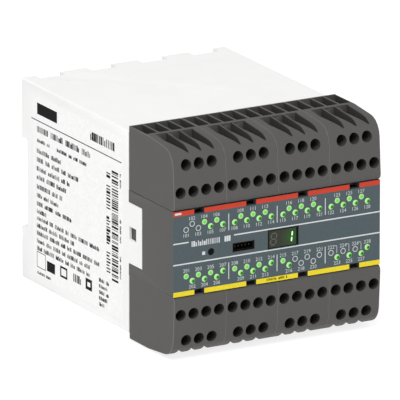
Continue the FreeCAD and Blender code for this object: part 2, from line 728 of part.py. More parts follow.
parts["supply_capacitors"] = mirrored(Part.makeCompound(
    row_of(CAPACITOR_SIZE, 3, CAPACITOR_PITCH, CAPACITOR_SHIFT, COMPONENT_BACK_GAP, BOARD_TOP)))
for side, x in LATCH_CENTRES.items():
    parts["foot_latch_" + side] = foot_latch(x)
    parts["latch_spring_" + side] = latch_spring(x)
upper_plug = terminal_plug()
upper_clamps = wire_clamps()
for i, x in enumerate(MODULE_CENTRES):
    shift = Vector(x, 0, 0)
    for level, plug, clamps in (
        ("upper", upper_plug, upper_clamps),
        ("lower", half_turned(upper_plug), half_turned(upper_clamps)),
    ):
        parts["%s_plug_%d" % (level, i + 1)] = plug.translated(shift)
        parts["%s_clamps_%d" % (level, i + 1)] = clamps.translated(shift)

os.makedirs("parts", exist_ok=True)
for name, shape in parts.items():
    shape.exportStep("parts/" + name + ".step")
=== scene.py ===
"""Dresses a rail-mounted safety controller: mouldings, panel print, lamps, screws and stage."""

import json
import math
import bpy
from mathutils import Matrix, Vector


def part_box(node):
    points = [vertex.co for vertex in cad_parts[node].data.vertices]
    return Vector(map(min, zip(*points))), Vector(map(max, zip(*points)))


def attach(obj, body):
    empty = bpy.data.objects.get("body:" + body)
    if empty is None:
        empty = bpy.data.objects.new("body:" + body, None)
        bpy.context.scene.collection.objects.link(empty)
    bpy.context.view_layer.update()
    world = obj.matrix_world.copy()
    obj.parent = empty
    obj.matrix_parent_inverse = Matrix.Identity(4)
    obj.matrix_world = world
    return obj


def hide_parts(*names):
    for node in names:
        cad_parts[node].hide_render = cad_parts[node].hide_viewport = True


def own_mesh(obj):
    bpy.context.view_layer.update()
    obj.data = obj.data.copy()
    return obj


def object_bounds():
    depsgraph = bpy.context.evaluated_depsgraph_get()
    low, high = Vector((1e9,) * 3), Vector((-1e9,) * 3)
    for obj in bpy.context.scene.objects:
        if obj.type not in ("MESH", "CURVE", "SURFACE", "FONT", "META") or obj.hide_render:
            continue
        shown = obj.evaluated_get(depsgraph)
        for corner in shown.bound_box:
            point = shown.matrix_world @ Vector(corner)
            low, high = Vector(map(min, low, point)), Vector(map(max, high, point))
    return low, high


bl_info = {
    "name": "Safety controller",
    "version": (1, 0, 0),
    "blender": (4, 5, 0),
    "location": "View3D > Sidebar > Controller",
    "description": "Builds the visible pieces of a rail-mounted safety controller around its solid model",
    "category": "Object",
}

import bmesh
import bpy
import numpy as np
from mathutils import Vector

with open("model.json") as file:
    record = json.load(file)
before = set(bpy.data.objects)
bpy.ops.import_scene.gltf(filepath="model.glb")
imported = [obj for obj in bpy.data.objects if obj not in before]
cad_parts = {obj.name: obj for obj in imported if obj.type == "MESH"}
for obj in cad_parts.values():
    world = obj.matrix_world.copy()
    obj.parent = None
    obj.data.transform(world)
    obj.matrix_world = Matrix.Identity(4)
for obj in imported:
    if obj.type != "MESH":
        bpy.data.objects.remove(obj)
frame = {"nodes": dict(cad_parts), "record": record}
NODES = frame["nodes"]
CAD_BOX = [list(corner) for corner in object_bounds()]
BEHAVIOUR = frame["record"]["behaviour"]
NODE_BODY = {node: body for body, nodes in BEHAVIOUR["bodies"].items() for node in nodes}
NODE_SLOT = {part["node"]: part["material_slot"] for part in frame["record"]["subparts"]}

MM = 0.001
CASE = "case"
# Levels of plugs and lamps, and the way that each lies from the middle
LEVELS = {"upper": 1, "lower": -1}
MODULES = (1, 2, 3, 4)
INNER_POLES = 4
OUTER_POLES = 3
FILM_LOW, FILM_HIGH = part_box("face_overlay")
FILM_FACE = FILM_LOW.y
MID_Z = (FILM_LOW.z + FILM_HIGH.z) / 2
HALF_WIDTH = FILM_HIGH.x
LABEL_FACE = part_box("side_label")[0].x
WINDOW_LOW, WINDOW_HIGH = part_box("display_window")
WINDOW_MIDDLE = (WINDOW_LOW + WINDOW_HIGH) / 2


# Settings


def colour_setting(name, description, default):
    return bpy.props.FloatVectorProperty(
        name=name, description=description, default=default, subtype="COLOR", size=3, min=0, max=1)


def place_setting(name, description, default):
    return bpy.props.FloatVectorProperty(
        name=name, description=description, default=default, subtype="TRANSLATION", size=3, unit="LENGTH")


def number_setting(name, description, default, **kind):
    return bpy.props.FloatProperty(name=name, description=description, default=default, min=0, **kind)


def length_setting(name, description, default):
    return number_setting(name, description, default, subtype="DISTANCE", unit="LENGTH")


def angle_setting(name, description, degrees):
    return number_setting(name, description, math.radians(degrees), subtype="ANGLE")


class ControllerFinish(bpy.types.PropertyGroup):
    """Colours and edge sizes of the mouldings and the print."""

    case_colour: colour_setting("Case", "Light moulding of the case", (0.845, 0.845, 0.84))
    label_colour: colour_setting("Label", "Film of the side label", (0.868, 0.868, 0.863))
    dark_colour: colour_setting("Dark moulding", "Front cover and terminal plugs", (0.081, 0.079, 0.075))
    film_colour: colour_setting("Panel film", "Ground colour of the front panel", (0.056, 0.079, 0.088))
    upper_band: colour_setting("Upper band", "Colour band along the panel's top", (0.49, 0.036, 0.013))
    lower_band: colour_setting("Lower band", "Colour band along the panel's foot", (0.71, 0.57, 0.014))
    print_colour: colour_setting("Print", "Light print on the panel", (0.56, 0.58, 0.59))
    fine_colour: colour_setting("Fine print", "Numbers and rings on the panel", (0.48, 0.50, 0.51))
    ink_colour: colour_setting("Ink", "Dark print on the side label", (0.003, 0.003, 0.003))
    lamp_colour: colour_setting("Lamp", "Lit indicator", (0.10, 0.40, 0.036))
    # Darkening of a plug's inner faces: painted shade in its recesses
    recess_tone: number_setting("Recess tone", "Tone of a plug's inner faces against its outside", 0.62)
    # Lightening of a plug's rounded flank edges: a painted highlight
    edge_tone: number_setting("Edge tone", "Tone of a plug's burnished edges against its outside", 1.7)
    plug_edge: length_setting("Plug edge", "Rounding along a plug's side outline", 0.00022)
    case_edge: length_setting("Case edge", "Rounding of the case's sharp edges", 0.00025)
    port_edge: length_setting("Port edge", "Rounding of the port's sharp edges", 0.00012)
    button_edge: length_setting("Button edge", "Rounding of the button's sharp edges", 0.00015)
    print_rise: length_setting("Print rise", "How far print stands over its ground", 0.00003)


class PanelLayout(bpy.types.PropertyGroup):
    """Sizes of the front panel's print and lamps, measured from the panel's middle."""

    band_height: length_setting("Band height", "Height of the colour bands", 0.00187)
    line_height: length_setting("Line height", "Height of the long lines over the middle", 0.00415)
    line_weight: length_setting("Line weight", "Thickness of the long lines", 0.00050)
    divider_pitch: length_setting("Divider pitch", "Distance between the short upright lines", 0.021)
    divider_foot: length_setting("Divider foot", "Inner end of the upright lines", 0.0063)
    divider_head: length_setting("Divider head", "Outer end of the upright lines", 0.0129)
    divider_weight: length_setting("Divider weight", "Thickness of the upright lines", 0.00032)
    lamp_pitch: length_setting("Lamp pitch", "Distance between lamps in a row", 0.0053)
    inner_row: length_setting("Inner row", "Height of the rows of four", 0.00915)
    outer_row: length_setting("Outer row", "Height of the rows of three", 0.0112)
    lamp_radius: length_setting("Lamp radius", "Radius of a lamp's lens", 0.00115)
    lamp_rise: length_setting("Lamp rise", "Height of a lens over the film", 0.00022)
    lamp_seat: length_setting("Lamp seat", "Depth of a lens's rim in the film", 0.00005)
    ring_weight: length_setting("Ring weight", "Thickness of a dark lamp's ring", 0.0003)
    number_height: length_setting("Number height", "Height of the plain numbers", 0.0015)
    inner_number: length_setting("Inner numbers", "Height of the numbers beside the rows of four", 0.0069)
    outer_number: length_setting("Outer numbers", "Height of the numbers beside the rows of three", 0.0134)
    hook_weight: length_setting("Hook weight", "Thickness of the hooked lines", 0.00022)
    hook_start: length_setting("Hook start", "Start of a hooked line beside its number's middle", 0.0012)
    hook_rise: length_setting("Hook rise", "Head of a hooked line over its number's middle", 0.0004)
    hook_end: length_setting("Hook end", "End of a hooked line over its lamp's middle", 0.0016)
    notch_width: length_setting("Notch width", "Width of the levering notches", 0.00435)
    module_pitch: length_setting("Module pitch", "Width of one module", 0.0225)
    title_start: length_setting("Title start", "Left end of the title, from the panel's left end", 0.0077)
    title_length: length_setting("Title length", "Length of the title strokes", 0.0176)
    title_height: length_setting("Title height", "Height of the title strokes over the middle", 0.0032)
    title_size: length_setting("Title size", "Size of the title strokes", 0.0030)
    title_gap: length_setting("Title gap", "Room left in the upper long line round the title", 0.0010)


class WindowLayout(bpy.types.PropertyGroup):
    """Sizes of the display's digits and mask, from the window's middle, and of the frames on the panel."""

    digit_height: length_setting("Digit height", "Height between a digit's level bars", 0.0044)
    digit_width: length_setting("Digit width", "Width between a digit's upright bars", 0.0023)
    digit_weight: length_setting("Digit weight", "Thickness of a digit's bars", 0.00052)
    digit_gap: number_setting("Digit gap", "Room between two bars, as a share of their thickness", 0.8)
    digit_slant: number_setting("Digit slant", "Lean of the digits, as a share of their height", 0.12)
    dim_place: length_setting("Dim digit", "Place of the dim digit, to the left", 0.00415)
    lit_place: length_setting("Lit digit", "Place of the lit digit's bars, to the right", 0.0038)
    glow_reach: length_setting("Glow reach", "How far the lit digit's glow spreads", 0.0052)
    mask_left: length_setting("Mask left", "Width of the mask at the window's left end", 0.00045)
    mask_right: length_setting("Mask right", "Width of the mask at the window's right end", 0.0009)
    mask_edge: length_setting("Mask edge", "Width of the mask along the head and foot", 0.0003)
    display_frame: length_setting("Display frame", "Width of the frame round the window", 0.00035)
    port_frame: length_setting("Port frame", "Width of the frame round the port", 0.00032)
    frame_rise: length_setting("Frame rise", "Height of the frames over the film", 0.00012)


class ScrewLayout(bpy.types.PropertyGroup):
    """Sizes of the terminal screws and of the clamps that they stand in."""

    head_radius: length_setting("Head radius", "Radius of a screw's head", 0.00185)
    head_height: length_setting("Head height", "Height of a screw's head", 0.0013)
    head_seat: length_setting("Head seat", "Depth of a screw's head in its clamp", 0.0002)
    slot_width: length_setting("Slot width", "Width of the driver slot", 0.0007)
    slot_depth: length_setting("Slot depth", "Depth of the driver slot", 0.0006)
    clamp_width: length_setting("Clamp width", "Width of one wire clamp", 0.0042)
    clamp_length: length_setting("Clamp length", "Length of one wire clamp", 0.0054)
    clamp_height: length_setting("Clamp height", "Height of one wire clamp", 0.0058)


class ScoopLayout(bpy.types.PropertyGroup):
    """Sizes of the wire scoops in a plug's roof, from an outer screw and from the plug's top and face."""

    left: length_setting("Left", "Reach of a scoop to the left of its screw", 0.0026)
    right: length_setting("Right", "Reach of a scoop to the right of its screw", 0.0023)
    ledge: length_setting("Ledge", "Length of the scoops, from the plug's face back to the ledge", 0.0204)
    depth: length_setting("Depth", "Greatest depth under the plug's top", 0.0035)
    crest_left: length_setting("Crest left", "Place of the floor's crest to the left of the screw", 0.0025)
    crest_drop: length_setting("Crest drop", "Drop of the floor's crest under the plug's top", 0.00133)
    floor_radius: length_setting("Floor radius", "Radius of the convex floor", 0.00473)
    blade: length_setting("Blade", "Width of a dividing blade before the scoops trim it", 0.00073)
    last_blade: length_setting("Last blade", "Width of the filling beside the last scoop", 0.00135)
    overlap: length_setting("Overlap", "How far a blade reaches into what carries it", 0.00005)
    blade_root: length_setting("Blade root", "How far a blade reaches under the scoops", 0.0005)
    blade_drop: length_setting("Blade drop", "How far a blade's top stays under the roof", 0.00002)


class StageSettings(bpy.types.PropertyGroup):
    """Floor, lights and camera."""

    floor_colour: colour_setting("Floor", "Pale floor", (0.30, 0.30, 0.30))
    floor_glow: number_setting("Floor glow", "Light that the floor gives off", 0.80)
    floor_drop: length_setting("Floor drop", "Room between the floor and the case", 0.0005)
    floor_reach: length_setting("Floor reach", "Half of the floor's side", 6.0)
    ambient: number_setting("Ambient", "Strength of the soft light all round", 0.6)
    key_power: number_setting("Key", "Power of the large key light", 21.5, unit="POWER")
    key_place: place_setting("Key place", "Place of the key light", (-0.64, -0.86, 1.54))
    key_aim: place_setting("Key aim", "Point that the key light looks at", (0, -0.05, 0))
    key_side: length_setting("Key side", "Side of the key light", 0.9)
    fill_power: number_setting("Fill", "Power of the weak light from the front", 1.7, unit="POWER")
    fill_place: place_setting("Fill place", "Place of the fill light", (0.25, -1.5, 0.35))
    fill_aim: place_setting("Fill aim", "Point that the fill light looks at", (0, -0.1, 0))
    fill_side: length_setting("Fill side", "Side of the fill light", 0.8)
    lens: number_setting("Lens", "Focal length of the camera", 1052.5, unit="CAMERA")
    turn: angle_setting("Turn", "Camera's turn to the left of the front", 29.360)
    tilt: angle_setting("Tilt", "Camera's height over the horizon", 16.493)
    distance: length_setting("Distance", "Camera's distance from its aim", 4.4657)
    aim: place_setting("Aim", "Point at the middle of the picture", (-0.002667, -0.060, 0.002762))


# Materials


MATERIALS = {}
DISC_MAP = "disc"


def shader(name, gloss=0.5, roughness=0.5):
    """New node material, its tree and its main surface shader, with an even gloss and roughness."""
    material = bpy.data.materials.new(name)
    material.use_nodes = True
    tree = material.node_tree
    surface = tree.nodes["Principled BSDF"]
    surface.inputs["Specular IOR Level"].default_value = gloss
    surface.inputs["Roughness"].default_value = roughness
    return material, tree, surface


def own_place(tree):
    """The piece's own coordinates."""
    return tree.nodes.new("ShaderNodeTexCoord").outputs["Object"]


def noise(tree, place, scale, detail):
    """Noise of a given fineness at a place."""
    texture = tree.nodes.new("ShaderNodeTexNoise")
    texture.inputs["Scale"].default_value = scale
    texture.inputs["Detail"].default_value = detail
    tree.links.new(place, texture.inputs["Vector"])
    return texture.outputs["Fac"]


def distance_from(tree, place, centre):
    """Distance of a place from a fixed point."""
    node = tree.nodes.new("ShaderNodeVectorMath")
    node.operation = "DISTANCE"
    node.inputs[1].default_value = centre
    tree.links.new(place, node.inputs[0])
    return node.outputs["Value"]


def ramp(tree, value, stops):
    """Colours placed along a value from 0 to 1."""
    node = tree.nodes.new("ShaderNodeValToRGB")
    elements = node.color_ramp.elements
    while len(elements) < len(stops):
        elements.new(0.5)
    for element, (position, colour) in zip(elements, stops):
        element.position = position
        element.color = (*colour, 1)
    tree.links.new(value, node.inputs["Fac"])
    return node.outputs["Color"]


def remap(tree, value, low, high, top=1.0):
    """A value from 0 to a top carried to a range."""
    node = tree.nodes.new("ShaderNodeMapRange")
    node.inputs["From Max"].default_value = top
    node.inputs["To Min"].default_value = low
    node.inputs["To Max"].default_value = high
    tree.links.new(value, node.inputs["Value"])
    return node.outputs["Result"]


def bump(tree, surface, height, strength, depth):
    """Relief from a height value, on the shader's normal."""
    node = tree.nodes.new("ShaderNodeBump")
    node.inputs["Strength"].default_value = strength
    node.inputs["Distance"].default_value = depth
    tree.links.new(height, node.inputs["Height"])
    tree.links.new(node.outputs["Normal"], surface.inputs["Normal"])


def toned(colour, factor):
    return tuple(min(1.0, channel * factor) for channel in colour)


def tint(tree, surface, value, colour, dark, light, spread):
    """Colour that goes from a darker to a lighter tone of itself over a spread about the value's middle."""
    tone = ramp(tree, value, [(0.5 - spread, toned(colour, dark)), (0.5 + spread, toned(colour, light))])
    tree.links.new(tone, surface.inputs["Base Color"])


def roughen(tree, surface, value, roughness, less, more):
    """Roughness that goes with a value, from a little less to a little more than its own."""
    tree.links.new(remap(tree, value, roughness - less, roughness + more), surface.inputs["Roughness"])


def moulded_plastic(name, colour, roughness, grain, depth, gloss=0.5):
    """Spark-eroded moulding: fine grain in relief, faint flow clouds in tone, roughness after the grain."""
    material, tree, surface = shader(name, gloss)
    place = own_place(tree)
    clouds = noise(tree, place, scale=70, detail=2)
    tint(tree, surface, clouds, colour, dark=0.988, light=1.01, spread=0.2)
    fine = noise(tree, place, grain, detail=3)
    roughen(tree, surface, fine, roughness, less=0.06, more=0.06)
    bump(tree, surface, fine, strength=0.35, depth=depth)
    return material


def printed_film(name, colour, roughness, gloss=0.5):
    """Satin film: a shallow hammered relief and a very faint mottle."""
    material, tree, surface = shader(name, gloss)
    mottle = noise(tree, own_place(tree), scale=900, detail=2)
    tint(tree, surface, mottle, colour, dark=0.95, light=1.04, spread=0.2)
    roughen(tree, surface, mottle, roughness, less=0.05, more=0.05)
    bump(tree, surface, mottle, strength=0.15, depth=0.00003)
    return material


def plated_metal(name, colour, roughness, stretch):
    """Drawn and plated metal: streaks along the depth, as noise squeezed along one axis."""
    material, tree, surface = shader(name)
    surface.inputs["Metallic"].default_value = 1.0
    mapping = tree.nodes.new("ShaderNodeMapping")
    mapping.inputs["Scale"].default_value = (1, stretch, 1)
    tree.links.new(own_place(tree), mapping.inputs["Vector"])
    streak = noise(tree, mapping.outputs["Vector"], scale=4000, detail=3)
    tint(tree, surface, streak, colour, dark=0.85, light=1.08, spread=0.25)
    roughen(tree, surface, streak, roughness, less=0.08, more=0.10)
    bump(tree, surface, streak, strength=0.2, depth=0.00002)
    return material


def circuit_board(name, mask, track):
    """Solder mask over copper: cells of tracks that show as slightly lighter paths."""
    material, tree, surface = shader(name, roughness=0.35)
    cells = tree.nodes.new("ShaderNodeTexVoronoi")
    cells.feature = "DISTANCE_TO_EDGE"
    cells.inputs["Scale"].default_value = 260
    tree.links.new(own_place(tree), cells.inputs["Vector"])
    tone = ramp(tree, cells.outputs["Distance"], [(0.04, track), (0.09, mask)])
    tree.links.new(tone, surface.inputs["Base Color"])
    bump(tree, surface, cells.outputs["Distance"], strength=0.1, depth=0.00005)
    return material


def lens_material(name, centre, stops):
    """Lamp lens by its own disc map: colour by distance from a point, off the middle in a shaded lens, with
    painted shade round that point and a painted highlight on the far side.

    Half of the colour is given off as light and half is the lens's own."""
    material, tree, surface = shader(name, gloss=0.3, roughness=0.25)
    disc = tree.nodes.new("ShaderNodeUVMap")
    disc.uv_map = DISC_MAP
    colour = ramp(tree, distance_from(tree, disc.outputs["UV"], (*centre, 0)), stops)
    tree.links.new(colour, surface.inputs["Base Color"])
    tree.links.new(colour, surface.inputs["Emission Color"])
    surface.inputs["Emission Strength"].default_value = 0.5
    return material


def smoked_window(name, far, near, centre, reach):
    """Smoked display window: a dark ground that glows by its distance from the lit digit."""
    material, tree, surface = shader(name, gloss=0.15, roughness=0.15)
    share = remap(tree, distance_from(tree, own_place(tree), centre), 0, 1, reach)
    between = tuple((a + 2 * b) / 3 for a, b in zip(near, far))
    tone = ramp(tree, share, [(0.0, near), (0.45, between), (1.0, far)])
    tree.links.new(tone, surface.inputs["Base Color"])
    return material


def plain_glow(name, colour, strength):
    """Display segment in one colour, which glows where it is lit, with a trace of grain in its gloss."""
    material, tree, surface = shader(name)
    surface.inputs["Base Color"].default_value = (*colour, 1)
    surface.inputs["Emission Color"].default_value = (*colour, 1)
    surface.inputs["Emission Strength"].default_value = strength
    grain = noise(tree, own_place(tree), scale=3000, detail=2)
    roughen(tree, surface, grain, roughness=0.4, less=0.1, more=0.1)
    return material


def make_materials(scene):
    """All finishes of the object, made once from the settings."""
    if MATERIALS:
        return
    finish = scene.controller_finish
    window = scene.controller_window
    dark = tuple(finish.dark_colour)
    recess = toned(dark, finish.recess_tone)
    burnished = toned(dark, finish.edge_tone)
    # Name, colour, roughness, grain, depth of the grain, gloss
    plastics = {
        "white_plastic": ("case_moulding", tuple(finish.case_colour), 0.55, 5000, 0.00004, 0.2),
        "dark_plastic": ("dark_moulding", dark, 0.52, 5000, 0.00005, 0.2),
        # Darker tone of the dark moulding: painted shade for a plug's inner faces
        "recess": ("recess_moulding", recess, 0.65, 5000, 0.00005, 0.15),
        # Lighter tone of the dark moulding: a painted highlight on a plug's rounded edges
        "burnished": ("burnished_edge", burnished, 0.42, 5000, 0.00003, 0.3),
        "light_guide": ("light_guide_moulding", (0.62, 0.66, 0.62), 0.25, 2500, 0.00002),
        "black_component": ("black_moulding", (0.018, 0.018, 0.019), 0.45, 4000, 0.00004),
        "port_plastic": ("port_moulding", (0.005, 0.005, 0.005), 0.6, 4000, 0.00004, 0.05),
    }
    # Name, colour, roughness, gloss
    films = {
        "label_film": ("label_film", tuple(finish.label_colour), 0.40, 0.3),
        "panel_film": ("panel_film", tuple(finish.film_colour), 0.45, 0.3),
        "upper_band": ("upper_band_print", tuple(finish.upper_band), 0.50, 0.25),
        "lower_band": ("lower_band_print", tuple(finish.lower_band), 0.50, 0.25),
        "light_print": ("light_print", tuple(finish.print_colour), 0.50, 0.25),
        "fine_print": ("fine_print", tuple(finish.fine_colour), 0.50, 0.25),
        "ink": ("label_ink", tuple(finish.ink_colour), 0.50, 0.05),
        "window_mask": ("window_mask", (0.003, 0.006, 0.003), 0.45, 0.04),
    }
    # Name, colour, roughness, stretch of the streaks
    metals = {
        "pin_metal": ("tin_plate", (0.62, 0.61, 0.58), 0.35, 0.15),
        "port_pin": ("dull_pin", (0.05, 0.045, 0.035), 0.50, 0.15),
        "spring_steel": ("spring_strip", (0.55, 0.55, 0.55), 0.30, 0.30),
        "screw_metal": ("screw_plate", (0.60, 0.60, 0.58), 0.32, 1.0),
    }
    for make, table in ((moulded_plastic, plastics), (printed_film, films), (plated_metal, metals)):
        MATERIALS.update({key: make(*values) for key, values in table.items()})
    lamp = tuple(finish.lamp_colour)
    # The pale ring is a painted highlight on the lens; in the shaded lens the dark colour off the middle is
    # painted shade
    pale = (0.27, 0.52, 0.20)
    rim = (0.15, 0.30, 0.13)
    lens_shade = (0.012, 0.085, 0.004)
    full_stops = [(0.0, lamp), (0.42, lamp), (0.74, pale), (1.0, rim)]
    shaded_stops = [(0.0, lens_shade), (0.44, lens_shade), (0.62, lamp), (0.85, pale), (1.0, pale)]
    lit_place = (WINDOW_MIDDLE.x + window.lit_place, WINDOW_LOW.y, WINDOW_MIDDLE.z)
    MATERIALS.update({
        "circuit_board": circuit_board("solder_mask", mask=(0.015, 0.11, 0.045), track=(0.05, 0.20, 0.09)),
        "lit_lens": lens_material("lit_lens", (0, 0), full_stops),
        "shaded_lens": lens_material("lens_with_painted_shade", (0.36, -0.14), shaded_stops),
        "display_glass": smoked_window(
            "smoked_window", far=(0.029, 0.032, 0.024), near=(0.016, 0.100, 0.010),
            centre=lit_place, reach=window.glow_reach),
        "lit_digit": plain_glow("lit_segment", (0.55, 1.0, 0.48), strength=0.6),
        "dim_digit": plain_glow("dim_segment", (0.060, 0.062, 0.044), strength=0.0),
    })


def finish_of(context):
    make_materials(context.scene)
    return context.scene.controller_finish


# Pieces


DRESSED = set()
MERGE_DISTANCE = 1e-6
FLAT_ANGLE = math.radians(0.5)
SHARP_ANGLE = math.radians(35)
SMOOTH_ANGLE = math.radians(30)


def add_piece(name, mesh, material, body, slot):
    """Object at the origin that rides on a body and takes a finish."""
    mesh.materials.clear()
    mesh.materials.append(MATERIALS[material])
    piece = bpy.data.objects.new(name, mesh)
    bpy.context.scene.collection.objects.link(piece)
    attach(piece, body)
    return piece


def dress_node(node, finish=None):
    """Gives a solid that shows as it is a finish, or else that of its slot."""
    slots = NODES[node].data.materials
    slots.clear()
    slots.append(MATERIALS[finish or NODE_SLOT[node]])
    DRESSED.add(node)


def add_print(name, mesh, material, slot, rise):
    """Flat print that rides on the case, closed backwards into its ground by twice its rise."""
    sheet = add_piece(name, mesh, material, CASE, slot)
    wall = sheet.modifiers.new("film_thickness", "SOLIDIFY")
    wall.thickness = 2 * rise
    wall.offset = -1


def array_mesh(name, points, faces):
    """Mesh from an array of points and an array, or a list of arrays, of faces."""
    mesh = bpy.data.meshes.new(name)
    mesh.from_pydata(points.reshape(-1, 3).tolist(), [], [list(map(int, face)) for face in faces])
    mesh.validate()
    mesh.update()
    return mesh


def values_of(items, attribute, width=1, kind=float):
    """One value, or one row of values, of each of a mesh's items, as a whole array."""
    values = np.empty(len(items) * width, kind)
    items.foreach_get(attribute, values)
    return values.reshape(-1, width) if width > 1 else values


def on_panel(flat, rise):
    """Panel points (place across, height over the middle) carried to the film's face and lifted."""
    across, height = flat[..., 0], flat[..., 1]
    return np.stack([across, np.broadcast_to(FILM_FACE - rise, across.shape), MID_Z + height], axis=-1)


def on_label(flat, rise):
    """Label points (place along the depth, height over the middle) carried to the left side and lifted."""
    along, height = flat[..., 0], flat[..., 1]
    return np.stack([np.broadcast_to(LABEL_FACE - rise, along.shape), along, MID_Z + height], axis=-1)


# Ground of each printed film, and the way round that faces outwards on it
GROUNDS = {"panel_film": (on_panel, 1), "label_film": (on_label, -1)}


def print_oblongs(name, oblongs, material, rise, slot="panel_film"):
    """Oblong fields printed on the panel or the label, one quad each.

    A row gives an oblong's left, foot, right and head, and its corners go round from the left foot."""
    ground, way = GROUNDS[slot]
    corners = np.asarray(oblongs, float).reshape(-1, 4)[:, [[0, 1], [2, 1], [2, 3], [0, 3]]]
    faces = np.arange(len(corners) * 4).reshape(-1, 4)[:, ::way]
    add_print(name, array_mesh(name, ground(corners, rise), faces), material, slot, rise)


def ring_quads(inner, outer, segments):
    """Quads between closed rings of points: inner and outer rings, given by their first points."""
    step = np.arange(segments)
    after = (step + 1) % segments
    inner, outer = np.asarray(inner)[..., None], np.asarray(outer)[..., None]
    return np.stack([inner + step, outer + step, outer + after, inner + after], axis=-1).reshape(-1, 4)


def repeated(parts, count, size):
    """Faces of one shape, as arrays of rows, for a count of like shapes that have a size in points."""
    first = size * np.arange(count)[:, None, None]
    return [face for part in parts for face in (part + first).reshape(-1, part.shape[1])]


def circle(segments):
    """Points round the unit circle, as (across, up) pairs."""
    turn = 2 * np.pi * np.arange(segments) / segments
    return np.stack([np.cos(turn), np.sin(turn)], axis=-1)


def crown(reaches, segments, rise, fall, seat):
    """Points of a unit disc and their heights: a middle point, then rings at the reaches.

    The height falls from the rise with the square of the reach, and the last ring goes down to the seat."""
    rings = np.asarray(reaches)[:, None, None] * circle(segments)
    flat = np.concatenate([np.zeros((1, 2)), rings.reshape(-1, 2)])
    reach = np.concatenate([[0.0], np.repeat(reaches, segments)])
    height = rise * (1 - fall * reach ** 2)
    height[-segments:] = -seat
    return flat, height


def crown_faces(count, rings, segments):
    """Faces of like closed crowns: a fan round the middle, quads between rings, a cap on the last ring."""
    step = np.arange(segments)
    fan = np.stack([np.zeros(segments, int), 1 + step, 1 + (step + 1) % segments], axis=1)
    first = 1 + segments * np.arange(rings - 1)
    size = 1 + rings * segments
    cap = np.arange(size - segments, size)[None, ::-1]
    return repeated([fan, ring_quads(first, first + segments, segments), cap], count, size)


def rework(mesh, change):
    """Runs a change on a mesh in its editable form."""
    work = bmesh.new()
    work.from_mesh(mesh)
    change(work)
    work.to_mesh(mesh)
    work.free()


def merged_copy(node):
    """The node's mesh with its loose triangles joined and its flat faces cleared of inner edges."""
    def merge(work):
        bmesh.ops.remove_doubles(work, verts=work.verts, dist=MERGE_DISTANCE)
        bmesh.ops.dissolve_limit(work, angle_limit=FLAT_ANGLE, verts=work.verts, edges=work.edges)

    mesh = NODES[node].data.copy()
    rework(mesh, merge)
    return mesh


def moulding(node, radius, chosen, finish=None, mesh=None):
    """Copy of a solid, or a mesh made from one, with chosen sharp edges rounded, which stands for it."""
    def weigh_edges(work):
        layers = work.edges.layers.float
        weight = layers.get("bevel_weight_edge") or layers.new("bevel_weight_edge")
        for edge in work.edges:
            sharp = len(edge.link_faces) == 2 and edge.calc_face_angle(0) > SHARP_ANGLE
            edge[weight] = 1.0 if sharp and chosen(edge) else 0.0

    mesh = mesh or merged_copy(node)
    rework(mesh, weigh_edges)
    mesh.shade_smooth()
    mesh.set_sharp_from_angle(angle=SMOOTH_ANGLE)
    slot = NODE_SLOT[node]
    piece = add_piece(node + "_moulding", mesh, finish or slot, NODE_BODY[node], slot)
    rounding = piece.modifiers.new("edge_rounding", "BEVEL")
    rounding.width = radius
    rounding.segments = 2
    rounding.limit_method = "WEIGHT"
    rounding.harden_normals = True
    rounding.use_clamp_overlap = True
    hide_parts(node)
    return piece


def longer_than(length):
    return lambda edge: edge.calc_length() > length


# Case and latches


# Shorter edges than this stay sharp
LEAST_CASE_EDGE = 0.0012


class CONTROLLER_OT_case(bpy.types.Operator):
    """Case, front cover and rail latches, with softened edges"""

    bl_idname = "controller.case"
    bl_label = "Case and cover"

    def execute(self, context):
        finish = finish_of(context)
        for node in ("housing", "front_cover", "foot_latch_left", "foot_latch_right"):
            moulding(node, finish.case_edge, longer_than(LEAST_CASE_EDGE))
        return {"FINISHED"}


class CONTROLLER_OT_springs(bpy.types.Operator):
    """Zigzag springs of the rail latches, which shorten towards their foot as a latch slides down"""

    bl_idname = "controller.springs"
    bl_label = "Latch springs"

    def execute(self, context):
        finish_of(context)
        for side in ("left", "right"):
            node = "latch_spring_" + side
            slot = NODE_SLOT[node]
            spring = add_piece(node + "_strip", merged_copy(node), "spring_steel", NODE_BODY[node], slot)
            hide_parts(node)
            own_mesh(spring)
        return {"FINISHED"}


# Terminal plugs and screws


SCOOP_STEPS = 15
TOUCHING = 1e-6
FLANK_ROOM = 1e-5
INNER_DEPTH = 0.00005
WALL_TURN = 0.95


def screw_places(level, number, screws):
    """Head centres of a plug's screws, on its clamps' front faces: the inner ones, then the outer ones."""
    low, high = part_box("%s_clamps_%d" % (level, number))
    first = low.x + screws.clamp_width / 2
    pitch = (high.x - low.x - screws.clamp_width) / (INNER_POLES - 1)
    near, far = low.z + screws.clamp_height / 2, high.z - screws.clamp_height / 2
    inner_z, outer_z = (near, far) if level == "upper" else (far, near)
    inner = np.empty((INNER_POLES, 3))
    inner[:, 0] = first + pitch * np.arange(INNER_POLES)
    inner[:, 1:] = high.y - screws.clamp_length, inner_z
    outer = np.empty((OUTER_POLES, 3))
    outer[:, 0] = first + pitch * (np.arange(OUTER_POLES) + 0.5)
    outer[:, 1:] = low.y, outer_z
    return np.concatenate([inner, outer])


def prisms(name, outlines):
    """Closed prisms from pairs of like outlines: quads between their sides, and the outlines as caps."""
    count, _, corners, _ = outlines.shape
    step = np.arange(corners)
    caps = np.stack([step[::-1], corners + step])
    faces = repeated([ring_quads(corners, 0, corners), caps], count, 2 * corners)
    mesh = array_mesh(name, outlines, faces)
    rework(mesh, lambda work: bmesh.ops.recalc_face_normals(work, faces=work.faces))
    return mesh


